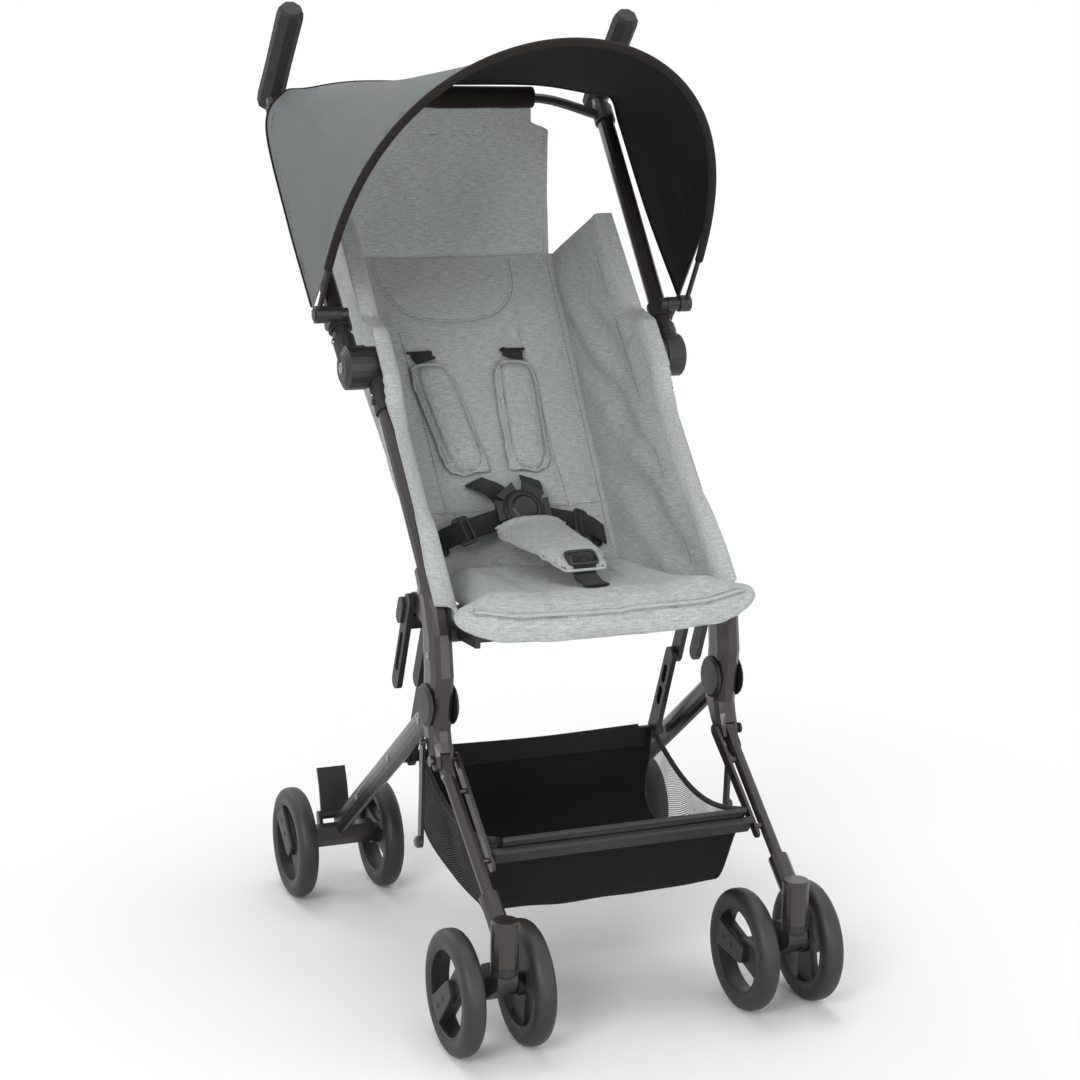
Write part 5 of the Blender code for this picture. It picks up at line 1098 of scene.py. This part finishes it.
class STROLLER_OT_pads(bpy.types.Operator):
    """Builds the shoulder pads and the crotch pad with their corded borders"""

    bl_idname = "stroller.pads"
    bl_label = "Harness Pads"

    def execute(self, context):
        for label, side in (("L", 1), ("R", -1)):
            node = "shoulder_pad_" + label
            pad = soft_copy("shoulder_cover_" + label, node, SKINS["melange_padding"])
            plumped(pad, 0.0032, 0.0004, 0.0022, rest=BEHIND)
            top = on_back(side * 0.0535, 0.340, PAD_DEPTH)
            low = on_back(side * 0.0360, 0.182, PAD_DEPTH)
            way = (top - low).normalized()
            across = way.cross(BEHIND).normalized()
            middle = (top + low) / 2 - 0.006 * BEHIND
            threads, cords = bmesh.new(), bmesh.new()
            rim = rim_line(pad, middle, across, way, 0.0305, 0.081, 5.0)
            inner = [middle - 0.03 * BEHIND + 0.0205 * signed(c, 0.5) * across
                     + 0.0715 * signed(s, 0.4) * way for c, s in round_steps(80)]
            tree = skin_of(pad)
            line = [tree.ray_cast(p, BEHIND)[:2] for p in inner + inner[:1]]
            line = laid(tree, [p for p, _ in line if p is not None], 0.001)
            press(pad, [line[::3]], 0.0017, 0.0024)
            stitch(threads, laid(skin_of(pad), [p for p, _ in line], 0.001), 0.0022)
            ring_tube(cords, rim, 0.0017, 8, closed=True)
            sewn = from_form("shoulder_stitches_" + label, threads, SKINS["seam_thread_and_shade"], smooth=180)
            edging = from_form("shoulder_piping_" + label, cords, SKINS["melange_piping"], smooth=180)
            for made in (pad, sewn, edging):
                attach(made, "chassis")
            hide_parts(node)
        pad = soft_copy("crotch_cover", "crotch_pad", SKINS["melange_padding"])
        plumped(pad, 0.0032, 0.0004, 0.0016)
        low, high = (Vector(p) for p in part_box("crotch_pad"))
        tree = skin_of(pad)
        cords = bmesh.new()
        edge = []
        mesh = frame["nodes"]["crotch_pad"].data
        steps = 16
        for k in range(steps + 1):
            y = low.y + (high.y - low.y) * (0.03 + 0.94 * k / steps)
            near = [v.co for v in mesh.vertices if abs(v.co.y - y) < 0.006]
            if near:
                far = max(near, key=lambda p: p.x)
                edge.append(far.copy())
        rim = edge + [Vector((-p.x, p.y, p.z)) for p in reversed(edge)]
        ring_tube(cords, [tree.find_nearest(p)[0] for p in smooth_line(rim + rim[:1], 4)[:-1]], 0.0016, 8,
                  closed=True)
        edging = from_form("crotch_piping", cords, SKINS["melange_piping"], smooth=180)
        for made in (pad, edging):
            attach(made, "chassis")
        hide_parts("crotch_pad")
        return {"FINISHED"}


# Harness

WEB = 0.0022
BUCKLE_BACK = 0.0075 + 0.0014 + 0.0005        # from the buckle's middle to the straps behind it
BUCKLE = on_back(0.0, 0.118, BACK_DEPTH - 0.040)
BUCKLE_WAY = -(BEHIND + 0.10 * ALONG).normalized()
BUCKLE_UP = (ALONG - ALONG.dot(BUCKLE_WAY) * BUCKLE_WAY).normalized()


def web_depth(a):
    return BACK_DEPTH - 0.004 * a * a - CLOTH / 2 - 0.0015 * (1 - a) - 0.0005 - WEB / 2


def loop_ring(form, centre, across, up, face, wide, high, bar):
    """A rectangular slider with a middle bar."""
    thick = bar * 0.8
    points = [centre + wide / 2 * signed(c, 0.35) * across + high / 2 * signed(s, 0.35) * up
              for c, s in round_steps(32)]
    ring_tube(form, points, bar / 2, 8, closed=True)
    ring_tube(form, [centre - high / 2 * up + 0.3 * thick * face, centre + 0.3 * thick * face,
                     centre + high / 2 * up + 0.3 * thick * face], bar / 2.4, 8)


class STROLLER_OT_harness(bpy.types.Operator):
    """Builds the harness straps, their loops and sliders, and the buckle's trims"""

    bl_idname = "stroller.harness"
    bl_label = "Harness"

    def execute(self, context):
        straps, trims = bmesh.new(), bmesh.new()
        width = sizes().strap_width
        back = BUCKLE - BUCKLE_BACK * BUCKLE_WAY
        under = back - 0.0018 * BUCKLE_WAY
        for side in (1, -1):
            shoulder = smooth_line([
                under + side * 0.006 * X, on_back(side * 0.022, 0.150, BACK_DEPTH - 0.029),
                on_back(side * 0.034, 0.1775, web_depth(0.4) - 0.0002)], 8)
            ribbon(straps, shoulder, width, WEB, BEHIND)
            upper = [on_back(side * (0.0535 + 0.004 * k / 10), 0.3385 + 0.014 * k / 10,
                             web_depth(0.5) - 0.0006 - 0.0052 * (1 - k / 10) ** 2) for k in range(11)]
            ribbon(straps, upper, width, WEB, BEHIND)
            mouth = on_back(side * 0.0577, 0.3532, web_depth(0.5) - 0.0002)
            ribbon(trims, [mouth - 0.0155 * X, mouth + 0.0155 * X], 0.0034, 0.0014, BEHIND)
            waist = smooth_line([
                under + side * 0.008 * X, on_back(side * 0.045, 0.109, BACK_DEPTH - 0.030),
                on_back(side * 0.080, 0.101, BACK_DEPTH - 0.026),
                on_back(side * 0.104, 0.098, web_depth(0.9) - 0.0002)], 8)
            ribbon(straps, waist, width, WEB, BEHIND)
            spot = on_back(side * 0.070, 0.1035, BACK_DEPTH - 0.0275)
            way = (waist[18] - waist[14]).normalized()
            up = BEHIND.cross(way).normalized()
            loop_ring(trims, spot, way, up, -BEHIND, 0.017, width + 0.0060, 0.0042)
            spot = on_back(side * 0.094, 0.0992, web_depth(0.85) - 0.0018)
            loop_ring(trims, spot, way, up, -BEHIND, 0.011, width + 0.0044, 0.0034)
        line = crotch_line()
        tree = skin_of(bpy.data.objects["crotch_cover"])
        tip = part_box("crotch_pad")[0][1]
        low = [tree.ray_cast(Vector((0.0, tip + d, 0.6)), -UP)[0] for d in (0.008, 0.018, 0.028)]
        if all(low):
            way = (low[0] - low[2]).normalized()
            face = X.cross(way).normalized()
            face = face if face.z > 0 else -face
            loop_ring(trims, low[1] + 0.0018 * face, X, way, face, width + 0.007, 0.019, 0.0040)
            lip = smooth_line([low[2] + 0.0006 * face, low[1] + 0.0042 * face, low[0] + 0.0012 * face,
                               low[0] + 0.009 * way - 0.0060 * face,
                               line[-1] + 0.004 * UP - 0.002 * Vector((0, 1, 0))], 6)
            ribbon(straps, lip, width, WEB, face)
        ribbon(straps, [back, *line], width, WEB, BEHIND)
        made = from_form("harness_straps", straps, SKINS["webbing"], smooth=50)
        sliders = from_form("harness_sliders", trims, SKINS["black_plastic"], smooth=60)
        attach(made, "chassis")
        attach(sliders, "chassis")
        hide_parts("harness_webbing")

        rings = bmesh.new()
        ring_tube(rings, [BUCKLE + 0.0076 * BUCKLE_WAY + 0.0198 * (c * X + s * BUCKLE_UP)
                          for c, s in round_steps(48)], 0.0009, 8, closed=True)
        trim = from_form("buckle_ring", rings, SKINS["black_plastic"], smooth=180)
        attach(trim, "chassis")
        return {"FINISHED"}


def crotch_line():
    start = BUCKLE - (BUCKLE_BACK + 0.0012) * BUCKLE_WAY - 0.031 * BUCKLE_UP
    mesh = frame["nodes"]["harness_webbing"].data
    tip = min((v.co for v in mesh.vertices), key=lambda p: p.y)
    end = Vector((0.0, tip.y, tip.z))
    middle = start.lerp(end, 0.5) + 0.014 * UP
    return smooth_line([start, middle, end], 10)


# Canopy

def bow_point(angle, grow=0.0):
    reach = (0.342 + grow) * abs(sin(angle)) ** (2 / 2.75)
    return CLIP + (0.2185 + grow) * cos(angle) * X + reach * BOW_WAY


def canopy_rows(count, across):
    corner = HINGE + 0.326 * ALONG
    roof = CROSS + Vector((0, -0.006, 0.037))
    start = CLIP + 0.016 * ALONG + 0.010 * BEHIND
    side_x = CANOPY_SIDE_X
    rear = smooth_line([
        at(start, side_x - 0.0005), at(HINGE + 0.53 * 0.378 * ALONG + 0.002 * BEHIND, side_x),
        at(corner - 0.002 * BEHIND, side_x - 0.0005),
        at(corner + Vector((0, -0.006, 0.038)), side_x - 0.018),
        at(roof - Vector((0, 0.004, 0.008)), side_x * 0.78), at(roof, side_x * 0.50), at(roof, 0.0)], 16)
    rear += [at(p, -p.x) for p in rear[-2::-1]]
    rows = []
    for i in range(count):
        share = i / (count - 1)
        place = share * (len(rear) - 1)
        k = min(len(rear) - 2, int(place))
        back = rear[k].lerp(rear[k + 1], place - k)
        angle = pi * (0.060 + 0.880 * share)
        edge = bow_point(angle)
        along = (bow_point(angle + 0.01) - bow_point(angle - 0.01)).normalized()
        away = back - edge
        away = (away - away.dot(along) * along).normalized()
        edge = edge + 0.0039 * away
        row = []
        for j in range(across):
            t = j / (across - 1)
            mid = edge.lerp(back, t)
            sag = 0.010 * sin(pi * t) * sin(pi * share) ** 0.5
            # soft folds that run from the bow's ends towards the handle
            corner_share = min(share, 1 - share)
            folds = 0.0030 * sin(16 * t + 26 * corner_share) * ease(1 - corner_share / 0.30)
            folds += 0.0034 * ripple((share * 5, t * 2.2, 1.0), 1.0, 5.0)
            sag += max(-0.0035, min(0.006, folds)) * sin(pi * t) ** 0.7 * ease(corner_share / 0.03)
            # the sides are drawn inwards more than the roof
            pull = Vector((-mid.x * 0.18 * (5 if abs(mid.x) > 0.2 else 1), 0.0, -1.0)).normalized()
            row.append(mid + sag * pull)
        rows.append(row)
    return rows


class STROLLER_OT_canopy(bpy.types.Operator):
    """Builds the canopy cloth, its seams and the dark sleeve round the bow"""

    bl_idname = "stroller.canopy"
    bl_label = "Canopy"

    def execute(self, context):
        rows = canopy_rows(121, 45)
        cloth = cloth_sheet("canopy_cloth", rows, 0.0016, [SKINS["canopy_outside"], SKINS["canopy_lining"]],
                            (0.80, 0.30))
        threads = bmesh.new()
        tree = skin_of(cloth)
        for j in (2, 42):
            path = [row[j] for row in rows[3:-3]]
            line = laid(tree, path, 0.001)
            press(cloth, [line[::4]], 0.0007, 0.0016)
            stitch(threads, line, 0.0026, radius=0.00026)
        line = [bow_point(pi * (0.030 + 0.940 * k / 120)) for k in range(121)]
        hem = bmesh.new()
        ring_tube(hem, line, sizes().bow_sleeve, 14)
        sleeve = from_form("canopy_hem_sleeve", hem, SKINS["dark_hem"], smooth=180)
        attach(sleeve, "bow")
        tail = bmesh.new()
        ring_tube(tail, even_line([row[-1] for row in rows], 0.004), 0.0022, 10)
        rear = from_form("canopy_rear_hem", tail, SKINS["canopy_lining"], smooth=180)
        sewn = from_form("canopy_stitches", threads, SKINS["dark_thread"], smooth=180)
        for made in (cloth, sewn):
            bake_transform(made)
        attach(rear, "handle")
        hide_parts("canopy")
        return {"FINISHED"}


class STROLLER_OT_head_flap(bpy.types.Operator):
    """Builds the cloth that closes the gap between the seat back and the handle"""

    bl_idname = "stroller.head_flap"
    bl_label = "Head Flap"

    def execute(self, context):
        top = CROSS + Vector((0, 0.004, 0.020 - 0.0115 - 0.0005))
        edge = MOUTH + BACK_TOP * ALONG + BACK_DEPTH * BEHIND
        low = edge + Vector((0, 0.010, -0.008))
        rows = []
        for i in range(61):
            t = i / 60
            centre = low.lerp(top, t)
            half = 0.146 - 0.015 * t
            half *= 1 - 0.17 * ease((t - 0.86) / 0.06)
            row = []
            for j in range(97):
                u = -1 + 2 * j / 96
                shape = sin(pi * t)
                fold = 0.0045 * sin(2.6 * pi * u + 0.6) * shape + 0.010 * (1 - u * u) * shape
                fold += 0.0060 * ripple((u * 2.4 + t * 1.6, t * 1.2 - u, 0.3), 1.6, 6.0) * shape
                fold += 0.0012 * ripple((u * 9.0 + t * 3, t * 4, 0.3), 1.0, 2.0) * shape
                row.append(at(centre, u * half) + Vector((0.0, max(fold, -0.001), 0.0)))
            rows.append(row)
        flap = cloth_sheet("head_flap_cloth", rows, 0.0030, [SKINS["melange_cloth"]] * 2, (0.29, 0.20))
        threads = bmesh.new()
        tree = skin_of(flap)
        for path in ([rows[k][94] for k in range(4, 52)], [rows[k][2] for k in range(4, 52)],
                     [rows[50][j] for j in range(8, 89)]):
            line = laid(tree, path, 0.001)
            press(flap, [line[::3]], 0.0014, 0.0022)
            stitch(threads, line, 0.0024)
        sewn = from_form("head_flap_stitches", threads, SKINS["seam_thread_and_shade"], smooth=180)
        for made in (flap, sewn):
            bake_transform(made)
        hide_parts("head_flap")
        band = bmesh.new()
        points = [at(CROSS + Vector((0, 0.0, 0.020 + 0.0012)), -0.108 + 0.216 * k / 24) for k in range(25)]
        ring_tube(band, points, 0.0126, 18)
        wrap = from_form("crossbar_band", band, SKINS["dark_hem"], smooth=70)
        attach(wrap, "handle")
        return {"FINISHED"}


# Basket

STRIP = middle_of("front_cross_bar")
STRIP.x = 0.0
FRONT_WAY = (STRIP - at(FOOT, 0.0)).normalized()
FRONT_SIDE = Vector((0.0, -FRONT_WAY.z, FRONT_WAY.y))
LEG_END = middle_of("rear_wheel_L_outer") + 0.0125 * UP
LEG_END.x = 0.0
STRUT_FOOT = PIVOT + 0.162 * (LEG_END - PIVOT).normalized()
BASKET_HALF = 0.1385


def basket_line():
    lap = 0.0065 + 0.0005 + 0.0011
    y0 = PIVOT.y
    return [
        (STRIP - 0.0170 * FRONT_SIDE - 0.0075 * FRONT_WAY, 1.00),
        (STRIP + 0.0211 * FRONT_SIDE - 0.0075 * FRONT_WAY, 1.00),
        (Vector((0, STRIP.y + 0.045, 0.114)), 0.97), (Vector((0, y0 - 0.045, 0.110)), 0.95),
        (Vector((0, y0 + 0.035, 0.114)), 0.95), (Vector((0, STRUT_FOOT.y - 0.012, 0.136)), 0.96),
        (STRUT_FOOT + Vector((0, -lap, -0.024)), 0.99), (STRUT_FOOT + Vector((0, -lap, 0.007)), 1.0)]


class STROLLER_OT_basket(bpy.types.Operator):
    """Builds the basket: black floor and ends, net sides and an elastic rim"""

    bl_idname = "stroller.basket"
    bl_label = "Basket"

    def execute(self, context):
        profile = basket_line()
        line = smooth_line([p for p, _ in profile], 12)
        shares = [s for _, s in profile]
        spread = []
        for i in range(len(line)):
            place = i / (len(line) - 1) * (len(shares) - 1)
            k = min(len(shares) - 2, int(place))
            spread.append(shares[k] + (shares[k + 1] - shares[k]) * (place - k))
        front_rim, rear_rim = line[0], line[-1]
        floor_rows, left, right = [], [], []
        last = len(line) - 1
        for i, (spot, share) in enumerate(zip(line, spread)):
            t = i / last
            half = BASKET_HALF * share
            rim = front_rim.lerp(rear_rim, t)
            rim.z -= 0.030 * sin(pi * t)
            row = []
            for j in range(41):
                u = j / 40
                x = half * (2 * u - 1)
                dip = 0.004 * (1 - (2 * u - 1) ** 2) * sin(pi * t)
                fold = 0.0034 * ripple((u * 5.0, t * 7.0, 0.5), 1.0, 9.0) * sin(pi * t) * sin(pi * u)
                row.append(at(spot, x) - (dip + max(-0.002, min(0.003, fold))) * UP)
            floor_rows.append(row)
            for side, rows in ((-1, left), (1, right)):
                row = []
                for j in range(15):
                    rise = j / 14
                    out = (0.0024 * ripple((t * 9.0, rise * 2.0, side), 1.0, 4.0) * sin(pi * rise)
                           * sin(pi * t))
                    row.append(at(spot.lerp(rim, rise), side * (half + (BASKET_HALF - half) * rise + out)))
                rows.append(row)
        body = cloth_sheet("basket_cloth", floor_rows, 0.0022, [SKINS["black_cloth"]] * 2, (0.27, 0.42))
        nets = []
        for name, rows in (("basket_net_R", left), ("basket_net_L", right)):
            if rows is left:
                rows = [row[::-1] for row in rows]
            nets.append(cloth_sheet(name, rows, 0.0009, [SKINS["side_net"]] * 2, (0.10, 0.42)))
        bands, cords = bmesh.new(), bmesh.new()
        for rows in (left, right):
            for end, radius, sides in ((-1, 0.0030, 10), (0, 0.0015, 8)):
                ring_tube(bands, even_line([row[end] for row in rows[2:-2]], 0.005), radius, sides)
        binding = from_form("basket_binding", bands, SKINS["elastic"], smooth=180)
        rear_top = line[-1]
        ribbon(cords, [at(rear_top - 0.010 * UP, -0.130), at(rear_top - 0.010 * UP, 0.130)], 0.022, 0.0042,
               Vector((0, 1, 0)))
        ring_tube(cords, smooth_line([at(rear_top + 0.003 * UP, -0.122), at(rear_top + 0.0005 * UP, 0.0),
                                      at(rear_top + 0.003 * UP, 0.122)], 10), 0.0021, 8)
        rear = from_form("basket_rear_hem", cords, SKINS["elastic"], smooth=50)
        ribs = bmesh.new()
        for k in range(9):
            base = STRIP - 0.0066 * FRONT_WAY + (-0.0128 + 0.0032 * k) * FRONT_SIDE
            sag = 0.0016 * FRONT_WAY
            ring_tube(ribs, [at(base, x) + sag * (1 - (x / 0.136) ** 2) for x in (
                -0.134, -0.09, -0.045, 0.0, 0.045, 0.09, 0.134)], 0.0019, 8)
        for s in (-0.0165, 0.0165):
            rim = STRIP - 0.0068 * FRONT_WAY + s * FRONT_SIDE
            ring_tube(ribs, [at(rim, x) for x in (-0.136, 0.0, 0.136)], 0.0030, 10)
        ribbed = from_form("basket_front_band", ribs, SKINS["black_plastic"], smooth=60)
        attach(ribbed, "front_frame")
        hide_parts("basket")
        for made in (body, *nets, binding, rear):
            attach(made, "chassis")
            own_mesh(made)
        return {"FINISHED"}


class STROLLER_OT_fasteners(bpy.types.Operator):
    """Adds the bolts, rivets and screws"""

    bl_idname = "stroller.fasteners"
    bl_label = "Fasteners"

    def execute(self, context):
        def bolt(form, spot, way, radius=0.0040, high=0.0012):
            turned(form, [
                (radius, -0.0006), (radius, high * 0.6), (radius * 0.86, high), (radius * 0.5, high),
                (radius * 0.42, high * 0.4), (0.0, high * 0.4)], spot, way, 20)

        groups = {"chassis": bmesh.new(), "rear_frame": bmesh.new(), "front_frame": bmesh.new(),
                  "handle": bmesh.new()}
        for side in (1, -1):
            way = side * X
            trees = {n: skin_of(frame["nodes"][n + ("_L" if side > 0 else "_R")])
                     for n in ("leg_housing", "hinge_inner", "hinge_outer", "rear_leg", "front_leg")}

            def on(node, body, y, z, radius=0.0036):
                tree = trees[node]
                hit = tree.ray_cast(Vector((side * 0.30, y, z)), -way)
                if hit[0] is not None:
                    bolt(groups[body], hit[0], way, radius)

            on("leg_housing", "chassis", MOUTH.y - 0.006, MOUTH.z - 0.014)
            on("leg_housing", "chassis", PIVOT.y - 0.002, PIVOT.z + 0.052)
            on("hinge_outer", "handle", HINGE.y, HINGE.z, 0.0062)
            on("hinge_outer", "handle", HINGE.y + 0.034 * ALONG.y, HINGE.z + 0.034 * ALONG.z, 0.0028)
            on("hinge_inner", "chassis", HINGE.y - 0.036 * ALONG.y, HINGE.z - 0.036 * ALONG.z, 0.0028)
            down = (LEG_END - PIVOT).normalized()
            for reach in (0.048, 0.162, 0.290):
                spot = PIVOT + reach * down
                on("rear_leg", "rear_frame", spot.y, spot.z, 0.0034)
            spot = at(FOOT, 0.0) + 0.020 * FRONT_WAY
            on("front_leg", "front_frame", spot.y, spot.z, 0.0030)
        for body, form in groups.items():
            if not form.verts:
                form.free()
                continue
            made = from_form("fasteners_" + body, form, SKINS["bare_steel"], smooth=40)
            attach(made, body)
        return {"FINISHED"}


STEPS = (STROLLER_OT_stage, STROLLER_OT_finishes, STROLLER_OT_wheels, STROLLER_OT_seat_back,
         STROLLER_OT_cushion, STROLLER_OT_pads, STROLLER_OT_harness, STROLLER_OT_canopy,
         STROLLER_OT_head_flap, STROLLER_OT_basket, STROLLER_OT_fasteners)


class STROLLER_PT_panel(bpy.types.Panel):
    """Lists the stroller's pieces, sizes and colours"""

    bl_idname = "STROLLER_PT_panel"
    bl_label = "Folding Stroller"
    bl_space_type = "VIEW_3D"
    bl_region_type = "UI"
    bl_category = "Stroller"

    def draw(self, context):
        for group in (context.scene.stroller_sizes, context.scene.stroller_look):
            box = self.layout.box()
            for name in group.bl_rna.properties.keys():
                if name not in {"rna_type", "name"}:
                    box.prop(group, name)
        for step in STEPS:
            self.layout.operator(step.bl_idname)


CLASSES = (StrollerLook, StrollerSizes, *STEPS, STROLLER_PT_panel)


def register():
    for item in CLASSES:
        bpy.utils.register_class(item)
    bpy.types.Scene.stroller_look = PointerProperty(type=StrollerLook)
    bpy.types.Scene.stroller_sizes = PointerProperty(type=StrollerSizes)


def unregister():
    del bpy.types.Scene.stroller_sizes
    del bpy.types.Scene.stroller_look
    for item in reversed(CLASSES):
        bpy.utils.unregister_class(item)


def main():
    register()
    for step in STEPS:
        getattr(bpy.ops.stroller, step.bl_idname.split(".")[1])()
    bpy.context.view_layer.update()


if __name__ == "__main__":
    main()
